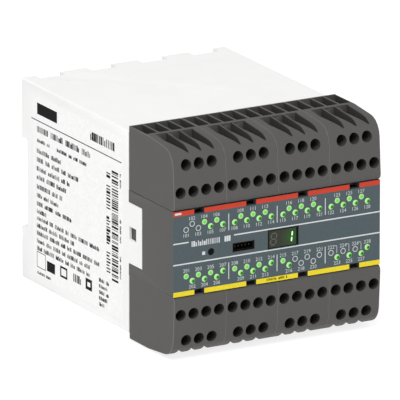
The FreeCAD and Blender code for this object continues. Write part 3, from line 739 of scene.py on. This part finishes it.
def scoop_outlines(poles, side, low, high, scoops):
    """Room of each scoop: a round floor that falls away from its crest, carried from the ledge to the face.

    From the crest, the floor drops by the radius less its cosine part at each angle, to the full depth."""
    fall = (scoops.depth - scoops.crest_drop) / scoops.floor_radius
    angle = np.linspace(0, math.acos(1 - fall), SCOOP_STEPS)
    across = scoops.floor_radius * np.sin(angle) - scoops.crest_left
    height = -scoops.crest_drop - scoops.floor_radius * (1 - np.cos(angle))
    left, right, over = -scoops.left, scoops.right, scoops.crest_drop
    across = np.concatenate([[left, left], across, [right, right]])
    height = np.concatenate([[over, -scoops.crest_drop], height, [-scoops.depth, over]])
    outlines = np.empty((len(poles), 2, len(across), 3))
    outlines[..., 0] = poles[:, None, None] + side * across
    outlines[:, 0, :, 1] = low.y + scoops.ledge
    outlines[:, 1, :, 1] = low.y - scoops.overlap
    outlines[..., 2] = (high.z if side > 0 else low.z) + side * height
    return outlines


def blade_outlines(mesh, poles, side, low, high, scoops):
    """Thin walls between the scoops: the plug's own side outline over them, carried across by a width."""
    points = values_of(mesh.vertices, "co", 3)
    top = high.z if side > 0 else low.z
    drop = side * (top - points[:, 2])
    flank = np.abs(points[:, 0] - low.x) < TOUCHING
    roof = flank & (drop < scoops.depth) & (points[:, 1] < low.y + scoops.ledge + TOUCHING)
    line = np.stack([points[roof, 1], drop[roof] + scoops.blade_drop], axis=1)
    line = line[np.argsort(-line[:, 0])]
    line[0, 0] += scoops.overlap
    foot = scoops.depth + scoops.blade_root
    line = np.concatenate([line, [(line[-1, 0], foot), (line[0, 0], foot)]])
    start = poles + side * (scoops.right - scoops.overlap)
    width = np.array([scoops.blade, scoops.blade, scoops.last_blade])[::side]
    ends = np.stack([start, start + side * width], axis=1)
    outlines = np.empty((len(poles), 2, len(line), 3))
    outlines[..., 0] = ends[:, :, None]
    outlines[..., 1] = line[:, 0]
    outlines[..., 2] = top - side * line[:, 1]
    return outlines


def worked_mesh(mesh, tools):
    """A mesh with solids joined to it or cut from it in turn. A cut's faces take the second finish."""
    holders = []
    for solid in [mesh] + [tool for tool, _ in tools]:
        solid.materials.clear()
        for name in ("dark_plastic", "recess"):
            solid.materials.append(MATERIALS[name])
        holder = bpy.data.objects.new(solid.name, solid)
        bpy.context.scene.collection.objects.link(holder)
        holders.append(holder)
    for holder, (tool, operation) in zip(holders[1:], tools):
        place = int(operation == "DIFFERENCE")
        tool.polygons.foreach_set("material_index", np.full(len(tool.polygons), place, np.int32))
        step = holders[0].modifiers.new(tool.name, "BOOLEAN")
        step.operation = operation
        step.solver = "EXACT"
        step.object = holder
    view = bpy.context.evaluated_depsgraph_get()
    worked = bpy.data.meshes.new_from_object(holders[0].evaluated_get(view))
    for holder in holders:
        bpy.data.objects.remove(holder)
    for tool, _ in tools:
        bpy.data.meshes.remove(tool)
    return worked


def on_flank(low_x, high_x):
    """Edges that lie in one of a plug's two flank planes."""
    def chosen(edge):
        ends = [vertex.co.x for vertex in edge.verts]
        return any(max(abs(end - flank) for end in ends) < FLANK_ROOM for flank in (low_x, high_x))
    return chosen


def darken_recesses(mesh, floors):
    """Gives the inner faces the recess shade finish, a darker tone painted as shade, apart from the scoops'
    floors, which turn less than a wall.

    A face is inner where some point lies in front of its plane."""
    normals = values_of(mesh.polygons, "normal", 3)
    reach = (normals @ values_of(mesh.vertices, "co", 3).T).max(axis=1)
    plane = (normals * values_of(mesh.polygons, "center", 3)).sum(axis=1)
    walls = np.abs(normals[:, 0]) >= WALL_TURN
    inner = (reach - plane > INNER_DEPTH) & (walls | ~floors)
    mesh.materials.append(MATERIALS["recess"])
    mesh.polygons.foreach_set("material_index", inner.astype(np.int32))


def part_at_cuts(mesh, cut):
    """Keeps the shading apart along the edges between cut and uncut faces."""
    loops = values_of(mesh.loops, "edge_index", kind=np.int32)
    owner = np.repeat(cut, values_of(mesh.polygons, "loop_total", kind=np.int32))
    touched = np.bincount(loops, weights=owner, minlength=len(mesh.edges))
    shared = np.bincount(loops, minlength=len(mesh.edges))
    layer = mesh.attributes["sharp_edge"].data
    sharp = values_of(layer, "value", kind=bool)
    layer.foreach_set("value", sharp | ((touched > 0) & (touched < shared)))


class CONTROLLER_OT_plugs(bpy.types.Operator):
    """Terminal plugs with bladed wire scoops, rounded along their flanks, with painted shade on their inner
    faces and a painted highlight on their rounded edges
    """

    bl_idname = "controller.plugs"
    bl_label = "Terminal plugs"

    def execute(self, context):
        finish = finish_of(context)
        scoops = context.scene.controller_scoops
        for level, side in LEVELS.items():
            for number in MODULES:
                node = "%s_plug_%d" % (level, number)
                low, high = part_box(node)
                poles = screw_places(level, number, context.scene.controller_screws)[INNER_POLES:, 0]
                mesh = merged_copy(node)
                blades = prisms("blades", blade_outlines(mesh, poles, side, low, high, scoops))
                rooms = prisms("scoops", scoop_outlines(poles, side, low, high, scoops))
                mesh = worked_mesh(mesh, [(blades, "UNION"), (rooms, "DIFFERENCE")])
                cut = values_of(mesh.polygons, "material_index", kind=np.int32) == 1
                plug = moulding(node, finish.plug_edge, on_flank(low.x, high.x), mesh=mesh)
                # Inner faces take the darker tone: painted shade in the scoops, pockets and tunnels
                darken_recesses(plug.data, cut)
                part_at_cuts(plug.data, cut)
                # The rounded flank edges take the lighter tone: a painted highlight
                plug.data.materials.append(MATERIALS["burnished"])
                plug.modifiers["edge_rounding"].material = len(plug.data.materials) - 1
        return {"FINISHED"}


HEAD_REACHES = (0.18, 0.34, 0.5, 0.66, 0.82, 0.95, 1.0, 1.0)
HEAD_SEGMENTS = 24
HEAD_FALL = 0.35
SLOT_LEAN = 0.35


def screw_heads(name, places, screws):
    """Slotted pan heads: crowns that drop by a step inside a leaning slot."""
    flat, height = crown(HEAD_REACHES, HEAD_SEGMENTS, screws.head_height, HEAD_FALL, screws.head_seat)
    flat = flat * screws.head_radius
    slot = (np.abs(flat[:, 0] + SLOT_LEAN * flat[:, 1]) < screws.slot_width / 2) & (height > 0)
    height = np.where(slot, height - screws.slot_depth, height)
    points = places[:, None, :] + np.stack([flat[:, 0], -height, flat[:, 1]], axis=1)
    return array_mesh(name, points, crown_faces(len(places), len(HEAD_REACHES), HEAD_SEGMENTS))


class CONTROLLER_OT_screws(bpy.types.Operator):
    """Terminal screws at the ends of the screwdriver tunnels"""

    bl_idname = "controller.screws"
    bl_label = "Terminal screws"

    def execute(self, context):
        finish_of(context)
        screws = context.scene.controller_screws
        for level in LEVELS:
            for number in MODULES:
                name = "%s_screws_%d" % (level, number)
                mesh = screw_heads(name, screw_places(level, number, screws), screws)
                add_piece(name, mesh, "screw_metal", "%s_plug_%d" % (level, number), "pin_metal")
        return {"FINISHED"}


# Panel print


PANEL_SEED = 7
BUTTON_MARK = np.array([(-32.5, -1.75, -31.2, -0.45)]) * MM
UPPER_BAND_MARK = np.array([(-44.3, 15.4, -41.5, 16.2)]) * MM
LOWER_BAND_STROKES = np.array([(-4.6, 4.4, -15.66, 1.3)]) * MM
WORD_LENGTHS = (6, 15)
STROKE_PITCH = 0.30
STROKE_FOOT = 0.36
STROKE_HEIGHTS = (0.52, 0.72, 0.72)
STROKE_HALVES = (0.06, 0.08, 0.13)


def stroke_oblongs(lines, generator):
    """Small strokes along each line of (start, end, height, size), in word lengths, as oblongs.

    Pitch, foot, heights and half widths are shares of the size."""
    rows = []
    for start, end, height, size in lines:
        way = np.sign(end - start)
        pitch = STROKE_PITCH * size
        count = int(abs(end - start) / pitch)
        place = start + way * pitch * (np.arange(count) + 0.5)
        breaks = np.cumsum(generator.integers(*WORD_LENGTHS, count))
        kept = ~np.isin(np.arange(count), np.concatenate([breaks, breaks + 1]))
        foot = np.full(count, height - STROKE_FOOT * size)
        head = foot + generator.choice(STROKE_HEIGHTS, count) * size
        half = generator.choice(STROKE_HALVES, count) * size
        rows.append(np.stack([place - half, foot, place + half, head], axis=1)[kept])
    return np.concatenate(rows)


def band_spans(layout):
    """Stretches of a colour band between the levering notches, as (left, right) rows."""
    centres = (np.arange(len(MODULES)) - 1.5) * layout.module_pitch
    left = np.concatenate([[-HALF_WIDTH], centres + layout.notch_width / 2])
    right = np.concatenate([centres - layout.notch_width / 2, [HALF_WIDTH]])
    return np.stack([left, right], axis=1)


def line_oblongs(layout, title, title_end):
    """Long lines over and under the middle, the upper one open round the title, and short upright lines."""
    half, height = layout.line_weight / 2, layout.line_height
    runs = [(-HALF_WIDTH, HALF_WIDTH, -height), (-HALF_WIDTH, title - layout.title_gap, height),
            (title_end + layout.title_gap, HALF_WIDTH, height)]
    lines = [(left, middle - half, right, middle + half) for left, right, middle in runs]
    thin, foot, head = layout.divider_weight / 2, layout.divider_foot, layout.divider_head
    for x in layout.divider_pitch * np.array([-1, 0, 1]):
        lines += [(x - thin, foot, x + thin, head), (x - thin, -head, x + thin, -foot)]
    return lines


def lamp_columns(layout, count, group):
    """Places across of a row of lamps in one of the four groups."""
    middle = (group - 1.5) * layout.divider_pitch
    return middle + (np.arange(count) - (count - 1) / 2) * layout.lamp_pitch


def hook_oblongs(layout):
    """Thin hooked lines of the last lower group: across from each number, then down to a lamp."""
    last = len(MODULES) - 1
    outer = lamp_columns(layout, OUTER_POLES, last)
    start = lamp_columns(layout, INNER_POLES, last)[:OUTER_POLES] + layout.hook_start
    top = np.full(OUTER_POLES, layout.hook_rise - layout.inner_number)
    end = np.full(OUTER_POLES, layout.hook_end - layout.outer_row)
    across = np.stack([start, top - layout.hook_weight, outer, top], axis=1)
    down = np.stack([outer - layout.hook_weight, end, outer, top], axis=1)
    return np.concatenate([across, down])


class CONTROLLER_OT_panel(bpy.types.Operator):
    """Panel film with its colour bands, lines and dividers"""

    bl_idname = "controller.panel"
    bl_label = "Panel print"

    def execute(self, context):
        rise = finish_of(context).print_rise
        layout = context.scene.controller_panel
        dress_node("face_overlay")
        edge = (FILM_HIGH.z - FILM_LOW.z) / 2
        for level, side in LEVELS.items():
            foot, head = sorted((side * (edge - layout.band_height), side * edge))
            rows = [(left, foot, right, head) for left, right in band_spans(layout)]
            print_oblongs(level + "_band", rows, level + "_band", rise)
        title = layout.title_start - HALF_WIDTH
        title_end = title + layout.title_length
        print_oblongs("panel_lines", line_oblongs(layout, title, title_end), "light_print", rise)
        print_oblongs("panel_brackets", hook_oblongs(layout), "fine_print", rise)
        generator = np.random.default_rng(PANEL_SEED)
        title_row = [(title, title_end, layout.title_height, layout.title_size)]
        print_oblongs("panel_title", stroke_oblongs(title_row, generator), "light_print", rise)
        print_oblongs("button_mark", BUTTON_MARK, "light_print", rise)
        over_band = 2 * rise
        print_oblongs("upper_band_mark", UPPER_BAND_MARK, "light_print", over_band)
        print_oblongs("lower_band_strokes", stroke_oblongs(LOWER_BAND_STROKES, generator), "ink", over_band)
        return {"FINISHED"}


# Lamps and their numbers


LENS_REACHES = (0.3, 0.55, 0.75, 0.9, 1.0, 1.0)
LENS_SEGMENTS = 20
LENS_FALL = 0.8
RING_SEGMENTS = 24
FIRST_NUMBERS = {"upper": 101, "lower": 201}
NUMBER_SCALE = 1.35
# Dark lamps of a row, by level, length of the row and group
DARK_LAMPS = {("upper", 4, 0): (0, 1), ("upper", 3, 0): (0,), ("lower", 4, 2): (1, 2, 3),
              ("lower", 3, 2): (1, 2), ("lower", 4, 3): (0, 1, 2)}
# Rows whose other lamps are lit in full, up to the third; the other lit lamps take the lens with painted
# shade
FULL_ROWS = {("upper", 3, 0), ("upper", 3, 1), ("upper", 3, 2), ("upper", 3, 3),
             ("lower", 4, 0), ("lower", 4, 1), ("lower", 4, 2)}


def row_spots(layout, side, inner, outer):
    """Spots of one level's lamps or numbers, row by row, as (length of the row, group, index, spot)."""
    for count, height in ((INNER_POLES, inner), (OUTER_POLES, outer)):
        for group in range(len(MODULES)):
            for index, x in enumerate(lamp_columns(layout, count, group)):
                yield count, group, index, (x, side * height)


def lamp_places(layout):
    """Lamp middles on the panel, sorted into full ones, ones of kind half whose lens takes painted shade,
    and dark ones.
    """
    found = {"full": [], "half": [], "dark": []}
    for level, side in LEVELS.items():
        for count, group, index, spot in row_spots(layout, side, layout.inner_row, layout.outer_row):
            row = (level, count, group)
            kind = "half"
            if index in DARK_LAMPS.get(row, ()):
                kind = "dark"
            elif row in FULL_ROWS and index < OUTER_POLES:
                kind = "full"
            found[kind].append(spot)
    return {kind: np.array(places) for kind, places in found.items()}


def lens_mesh(name, places, layout):
    """Shallow domes, each with its place on the unit disc as a map."""
    flat, lift = crown(LENS_REACHES, LENS_SEGMENTS, layout.lamp_rise, LENS_FALL, layout.lamp_seat)
    points = on_panel(places[:, None, :] + flat * layout.lamp_radius, lift)
    mesh = array_mesh(name, points, crown_faces(len(places), len(LENS_REACHES), LENS_SEGMENTS))
    corners = values_of(mesh.loops, "vertex_index", kind=np.int32)
    disc = np.tile(flat, (len(places), 1))[corners]
    mesh.uv_layers.new(name=DISC_MAP).data.foreach_set("uv", disc.astype(np.float32).ravel())
    mesh.shade_smooth()
    return mesh


def lamp_rings(name, places, layout, rise):
    """Printed rings of dark lamps: two circles joined by quads."""
    reaches = np.array([layout.lamp_radius - layout.ring_weight, layout.lamp_radius])
    points = places[:, None, None, :] + reaches[:, None, None] * circle(RING_SEGMENTS)
    first = 2 * RING_SEGMENTS * np.arange(len(places))
    faces = ring_quads(first, first + RING_SEGMENTS, RING_SEGMENTS)
    return array_mesh(name, on_panel(points, rise), faces)


class CONTROLLER_OT_lamps(bpy.types.Operator):
    """Status lamps of the panel: lit lenses, some with painted shade and a painted highlight, and rings of
    dark ones
    """

    bl_idname = "controller.lamps"
    bl_label = "Status lamps"

    def execute(self, context):
        rise = finish_of(context).print_rise
        layout = context.scene.controller_panel
        places = lamp_places(layout)
        # Half lamps take the lens with painted shade and a painted highlight
        for kind, material in (("full", "lit_lens"), ("half", "shaded_lens")):
            name = kind + "_lamps"
            add_piece(name, lens_mesh(name, places[kind], layout), material, CASE, "light_guide")
        rings = lamp_rings("dark_lamps", places["dark"], layout, rise)
        add_print("dark_lamps", rings, "fine_print", "panel_film", rise)
        return {"FINISHED"}


def number_outline(text, size, place):
    """Flat points and faces of a plain number, with its own middle moved to a place on the panel."""
    curve = bpy.data.curves.new("number", "FONT")
    curve.body = text
    curve.size = size
    curve.resolution_u = 2
    curve.align_x = "CENTER"
    curve.align_y = "CENTER"
    holder = bpy.data.objects.new("number", curve)
    bpy.context.scene.collection.objects.link(holder)
    bpy.context.view_layer.update()
    mesh = bpy.data.meshes.new_from_object(holder)
    flat = values_of(mesh.vertices, "co", 3)[:, :2]
    faces = [np.array(face.vertices) for face in mesh.polygons]
    bpy.data.objects.remove(holder)
    bpy.data.curves.remove(curve)
    bpy.data.meshes.remove(mesh)
    middle = (flat.max(axis=0) + flat.min(axis=0)) / 2
    return flat - middle + np.asarray(place), faces


class CONTROLLER_OT_numbers(bpy.types.Operator):
    """Plain running numbers beside the lamps"""

    bl_idname = "controller.numbers"
    bl_label = "Lamp numbers"

    def execute(self, context):
        rise = finish_of(context).print_rise
        layout = context.scene.controller_panel
        size = layout.number_height * NUMBER_SCALE
        points, faces, first = [], [], 0
        for level, side in LEVELS.items():
            spots = row_spots(layout, side, layout.inner_number, layout.outer_number)
            for number, spot in enumerate(sorted(row[-1] for row in spots), FIRST_NUMBERS[level]):
                flat, outline = number_outline(str(number), size, spot)
                points.append(flat)
                faces += [face + first for face in outline]
                first += len(flat)
        mesh = array_mesh("lamp_numbers", on_panel(np.concatenate(points), rise), faces)
        add_print("lamp_numbers", mesh, "fine_print", "panel_film", rise)
        return {"FINISHED"}


# Display, port and button


# Middle of each bar in half widths and half heights of the digit, and whether it stands upright
SEGMENTS = {"a": (0, 1, False), "b": (1, 0.5, True), "c": (1, -0.5, True), "d": (0, -1, False),
            "e": (-1, -0.5, True), "f": (-1, 0.5, True), "g": (0, 0, False)}
FRAME_OUTWARD = np.array([0.0, 0.35, 0.75, 1.0])
FRAME_LIFT = np.array([-0.5, 1.0, 0.7, -0.2])
LEAST_PORT_EDGE = 0.0009
LEAST_BUTTON_EDGE = 0.0001


def hexagon_bars(middles, lengths, upright, weight):
    """Six-cornered bars of a seven-segment digit: a bar's half length and half weight set its corners."""
    half = lengths[:, None] / 2
    slim = weight / 2
    run = np.concatenate([-half, -half + slim, half - slim, half, half - slim, -half + slim], axis=1)
    rise = np.array([0, -1, -1, 0, 1, 1]) * slim
    bars = np.stack([run, np.broadcast_to(rise, run.shape)], axis=-1)
    turned = np.stack([-bars[..., 1], bars[..., 0]], axis=-1)
    return np.where(upright[:, None, None], turned, bars) + middles[:, None, :]


def digit_mesh(name, lit, middle_x, window, rise):
    """Seven-segment bars of one digit, leaned over by a shear in proportion to their height."""
    half_size = np.array([window.digit_width, window.digit_height]) / 2
    middles = np.array([SEGMENTS[key][:2] for key in lit]) * half_size
    upright = np.array([SEGMENTS[key][2] for key in lit])
    lengths = np.where(upright, half_size[1], window.digit_width) - window.digit_gap * window.digit_weight
    bars = hexagon_bars(middles, lengths, upright, window.digit_weight)
    bars[..., 0] += window.digit_slant * bars[..., 1] + middle_x
    return array_mesh(name, on_panel(bars, rise), np.arange(len(bars) * 6).reshape(-1, 6))


def mask_oblongs(window):
    """Dark strips printed inside the window: one at each end, and thin ones along its head and foot."""
    left, right = WINDOW_LOW.x, WINDOW_HIGH.x
    foot, head = WINDOW_LOW.z - MID_Z, WINDOW_HIGH.z - MID_Z
    inner_left, inner_right = left + window.mask_left, right - window.mask_right
    return [(left, foot, inner_left, head), (inner_right, foot, right, head),
            (inner_left, foot, inner_right, foot + window.mask_edge),
            (inner_left, head - window.mask_edge, inner_right, head)]


def add_frame(name, around, width, rise, material, slot):
    """Low bevelled frame round a solid: a closed four-sided profile carried round its oblong outline."""
    low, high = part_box(around)
    centre = np.array([(low.x + high.x) / 2, (low.z + high.z) / 2 - MID_Z])
    half = np.array([(high.x - low.x) / 2, (high.z - low.z) / 2])
    corner = np.array([[-1, -1], [1, -1], [1, 1], [-1, 1]])
    rings = centre + corner * (half + FRAME_OUTWARD[:, None, None] * width)
    points = on_panel(rings, FRAME_LIFT[:, None] * rise)
    first = len(corner) * np.arange(len(FRAME_OUTWARD))
    faces = ring_quads(first, np.roll(first, -1), len(corner))
    add_piece(name, array_mesh(name, points, faces), material, CASE, slot)


class CONTROLLER_OT_display(bpy.types.Operator):
    """Two-digit display with its smoked window and frame"""

    bl_idname = "controller.display"
    bl_label = "Display"

    def execute(self, context):
        rise = finish_of(context).print_rise
        window = context.scene.controller_window
        dress_node("display_window")
        dim_x = WINDOW_MIDDLE.x - window.dim_place
        lit_x = WINDOW_MIDDLE.x + window.lit_place - window.digit_width / 2
        for name, lit, place in (("dim_digit", "abcdefg", dim_x), ("lit_digit", "bc", lit_x)):
            add_print(name, digit_mesh(name, lit, place, window, rise), name, "display_glass", rise)
        print_oblongs("display_mask", mask_oblongs(window), "window_mask", rise)
        add_frame("display_frame", "display_window", window.display_frame, window.frame_rise,
                  "panel_film", "panel_film")
        return {"FINISHED"}


class CONTROLLER_OT_controls(bpy.types.Operator):
    """Programming port and set button"""

    bl_idname = "controller.controls"
    bl_label = "Port and button"

    def execute(self, context):
        finish = finish_of(context)
        window = context.scene.controller_window
        moulding("program_port", finish.port_edge, longer_than(LEAST_PORT_EDGE), "port_plastic")
        moulding("set_button", finish.button_edge, longer_than(LEAST_BUTTON_EDGE), "port_plastic")
        dress_node("port_pins", "port_pin")
        add_frame("port_frame", "program_port", window.port_frame, window.frame_rise,
                  "dark_plastic", "black_component")
        return {"FINISHED"}


# Side label


LABEL_SEED = 45
# Start, end, height and size of each line of strokes
LABEL_LINES = np.array([
    (-49.9, -73.3, 30.7, 4.6),
    (-7.6, -52.0, 22.7, 3.3),
    (-7.6, -18.2, 18.2, 1.9),
    (-23.6, -48.3, 18.2, 1.9),
    (-7.5, -27.9, 14.0, 2.5),
    (-7.5, -40.5, 10.5, 2.5),
    (-7.5, -34.3, 6.9, 2.5),
    (-7.5, -32.3, 3.5, 2.5),
    (-7.5, -28.1, -0.3, 2.5),
    (-7.4, -25.0, -3.8, 2.3),
    (-7.4, -35.8, -7.1, 2.3),
    (-7.4, -15.6, -10.2, 2.3),
    (-7.3, -57.3, -12.9, 2.3),
    (-7.3, -37.3, -15.9, 2.3),
    (-7.3, -57.3, -18.9, 2.3),
    (-7.3, -49.6, -22.0, 2.3),
    (-7.3, -49.6, -25.0, 2.3),
    (-36.2, -44.0, -29.3, 4.4),
    (-7.6, -18.5, -34.8, 1.5),
    (-56.8, -64.9, -24.8, 2.0),
    (-56.8, -63.5, -27.2, 2.0),
    (-56.8, -65.0, -29.6, 2.0),
    (-56.8, -64.2, -32.0, 2.0),
    (-56.8, -62.6, -34.4, 2.0),
]) * MM
# Start, end, depth and size of each upright line of strokes
LABEL_COLUMNS = np.array([
    (-20.4, 20.0, 64.3, 4.2),
    (-20.3, -11.0, 73.8, 1.5),
    (-6.0, 3.5, 73.8, 1.5),
    (15.5, 21.4, 73.8, 1.5),
]) * MM
# Left, foot, right and head of each field, and the weight of a box's outline
LABEL_RULE = np.array([(-74.7, 25.85, -3.4, 26.2)]) * MM
LABEL_BLOCKS = np.array([(-23.8, 28.7, -8.0, 33.2), (-21.8, -32.2, -15.4, -28.2)]) * MM
LABEL_BOXES = np.array([
    (-14.3, -32.6, -7.4, -26.3, 0.25),
    (-31.6, -31.7, -26.0, -27.3, 0.8),
    (-51.2, -31.2, -46.2, -26.8, 1.3),
]) * MM
CODE_FIELD = np.array([-72.0, -22.7, -67.0, 21.2]) * MM
CODE_WIDTHS = np.array([0.28, 0.28, 0.55, 0.85]) * MM
CODE_COUNT = 150


def box_oblongs(boxes):
    """Outlines of boxes (left, foot, right, head, weight): foot, head, left and right bars of each."""
    left, foot, right, head, weight = boxes.T
    low, high = foot + weight, head - weight
    bars = [(left, foot, right, low), (left, high, right, head),
            (left, low, left + weight, high), (right - weight, low, right, high)]
    return np.concatenate([np.stack(bar, axis=1) for bar in bars])


def code_oblongs(generator):
    """Bars of a plain stripe code: seeded widths stacked down a column, every other one inked."""
    left, foot, right, head = CODE_FIELD
    widths = generator.choice(CODE_WIDTHS, CODE_COUNT)
    feet = head - np.cumsum(widths)
    oblongs = np.stack([np.full(CODE_COUNT, left), feet, np.full(CODE_COUNT, right), feet + widths], axis=1)
    inked = np.arange(CODE_COUNT) % 2 == 0
    return oblongs[inked & (feet > foot)]


class CONTROLLER_OT_label(bpy.types.Operator):
    """Side label with a rule, small strokes for its print, plain blocks and boxes, and a stripe code"""

    bl_idname = "controller.label"
    bl_label = "Side label"

    def execute(self, context):
        rise = finish_of(context).print_rise
        generator = np.random.default_rng(LABEL_SEED)
        dress_node("side_label")
        lines = stroke_oblongs(LABEL_LINES, generator)
        code = code_oblongs(generator)
        columns = stroke_oblongs(LABEL_COLUMNS, generator)
        upright = np.stack([-columns[:, 3], columns[:, 0], -columns[:, 1], columns[:, 2]], axis=1)
        fields = {"label_rule": LABEL_RULE, "label_lines": lines, "label_blocks": LABEL_BLOCKS,
                  "label_boxes": box_oblongs(LABEL_BOXES), "label_code": code, "label_columns": upright}
        for name, oblongs in fields.items():
            print_oblongs(name, oblongs, "ink", rise, "label_film")
        return {"FINISHED"}


# Inner parts


class CONTROLLER_OT_inside(bpy.types.Operator):
    """Boards, components, clamps and pins"""

    bl_idname = "controller.inside"
    bl_label = "Inner parts"

    def execute(self, context):
        finish_of(context)
        for node, solid in NODES.items():
            if node not in DRESSED and not solid.hide_render:
                dress_node(node)
        return {"FINISHED"}


# Stage


FLOOR_LINES = 9
FLOOR_ROUGHNESS = 0.7
WHITE = (1, 1, 1, 1)
SENSOR_WIDTH = 36
VIEW_DEPTH = 50


def floor_mesh(height, reach):
    """Flat floor as a coarse grid, level at a height."""
    line = np.linspace(-reach, reach, FLOOR_LINES)
    across, along = np.meshgrid(line, line, indexing="ij")
    points = np.stack([across, along, np.full(across.shape, height)], axis=-1)
    index = np.arange(across.size).reshape(across.shape)
    corners = [index[:-1, :-1], index[1:, :-1], index[1:, 1:], index[:-1, 1:]]
    return array_mesh("floor", points, np.stack(corners, axis=-1).reshape(-1, 4))


def area_light(name, place, aim, side, power):
    """Large soft square light that looks at a point."""
    data = bpy.data.lights.new(name, "AREA")
    data.shape = "SQUARE"
    data.size = side
    data.energy = power
    light = bpy.data.objects.new(name, data)
    bpy.context.scene.collection.objects.link(light)
    light.location = place
    light.rotation_euler = (Vector(aim) - Vector(place)).to_track_quat("-Z", "Y").to_euler()


def add_camera(scene, settings):
    """Camera at a distance from its aim, turned to the left of the front and raised over the horizon."""
    turn, level = settings.turn, math.cos(settings.tilt)
    back = Vector((-math.sin(turn) * level, -math.cos(turn) * level, math.sin(settings.tilt)))
    data = bpy.data.cameras.new("camera")
    data.sensor_width = SENSOR_WIDTH
    data.lens = settings.lens
    data.clip_end = VIEW_DEPTH
    camera = bpy.data.objects.new("camera", data)
    scene.collection.objects.link(camera)
    camera.location = Vector(settings.aim) + back * settings.distance
    camera.rotation_euler = (-back).to_track_quat("-Z", "Y").to_euler()
    scene.camera = camera


class CONTROLLER_OT_stage(bpy.types.Operator):
    """Pale floor, soft light and the camera"""

    bl_idname = "controller.stage"
    bl_label = "Stage"

    def execute(self, context):
        scene = context.scene
        settings = scene.controller_stage
        height = CAD_BOX[0][2] - settings.floor_drop
        floor = bpy.data.objects.new("floor", floor_mesh(height, settings.floor_reach))
        scene.collection.objects.link(floor)
        paper = printed_film("pale_floor", tuple(settings.floor_colour), FLOOR_ROUGHNESS)
        surface = paper.node_tree.nodes["Principled BSDF"]
        surface.inputs["Emission Color"].default_value = WHITE
        surface.inputs["Emission Strength"].default_value = settings.floor_glow
        floor.data.materials.append(paper)
        scene.view_settings.view_transform = "Standard"
        scene.world = bpy.data.worlds.new("soft_room")
        scene.world.use_nodes = True
        sky = scene.world.node_tree.nodes["Background"]
        sky.inputs["Color"].default_value = WHITE
        sky.inputs["Strength"].default_value = settings.ambient
        area_light("key_light", settings.key_place, settings.key_aim,
                   settings.key_side, settings.key_power)
        area_light("fill_light", settings.fill_place, settings.fill_aim,
                   settings.fill_side, settings.fill_power)
        add_camera(scene, settings)
        return {"FINISHED"}


# Add-on


class CONTROLLER_PT_sidebar(bpy.types.Panel):
    """Lists the controller's pieces in the order they are built"""

    bl_label = "Safety controller"
    bl_idname = "CONTROLLER_PT_sidebar"
    bl_space_type = "VIEW_3D"
    bl_region_type = "UI"
    bl_category = "Controller"

    def draw(self, context):
        for operator in OPERATORS:
            self.layout.operator(operator.bl_idname)


SETTINGS = {
    "controller_finish": ControllerFinish,
    "controller_panel": PanelLayout,
    "controller_window": WindowLayout,
    "controller_screws": ScrewLayout,
    "controller_scoops": ScoopLayout,
    "controller_stage": StageSettings,
}
OPERATORS = (
    CONTROLLER_OT_case,
    CONTROLLER_OT_springs,
    CONTROLLER_OT_plugs,
    CONTROLLER_OT_screws,
    CONTROLLER_OT_panel,
    CONTROLLER_OT_lamps,
    CONTROLLER_OT_numbers,
    CONTROLLER_OT_display,
    CONTROLLER_OT_controls,
    CONTROLLER_OT_label,
    CONTROLLER_OT_inside,
    CONTROLLER_OT_stage,
)


def register():
    for group in SETTINGS.values():
        bpy.utils.register_class(group)
    for operator in OPERATORS:
        bpy.utils.register_class(operator)
    bpy.utils.register_class(CONTROLLER_PT_sidebar)
    for name, group in SETTINGS.items():
        setattr(bpy.types.Scene, name, bpy.props.PointerProperty(type=group))


def unregister():
    for name in SETTINGS:
        delattr(bpy.types.Scene, name)
    bpy.utils.unregister_class(CONTROLLER_PT_sidebar)
    for operator in reversed(OPERATORS):
        bpy.utils.unregister_class(operator)
    for group in reversed(SETTINGS.values()):
        bpy.utils.unregister_class(group)


def main():
    register()
    bpy.ops.controller.case()
    bpy.ops.controller.springs()
    bpy.ops.controller.plugs()
    bpy.ops.controller.screws()
    bpy.ops.controller.panel()
    bpy.ops.controller.lamps()
    bpy.ops.controller.numbers()
    bpy.ops.controller.display()
    bpy.ops.controller.controls()
    bpy.ops.controller.label()
    bpy.ops.controller.inside()
    bpy.ops.controller.stage()


if __name__ == "__main__":
    main()
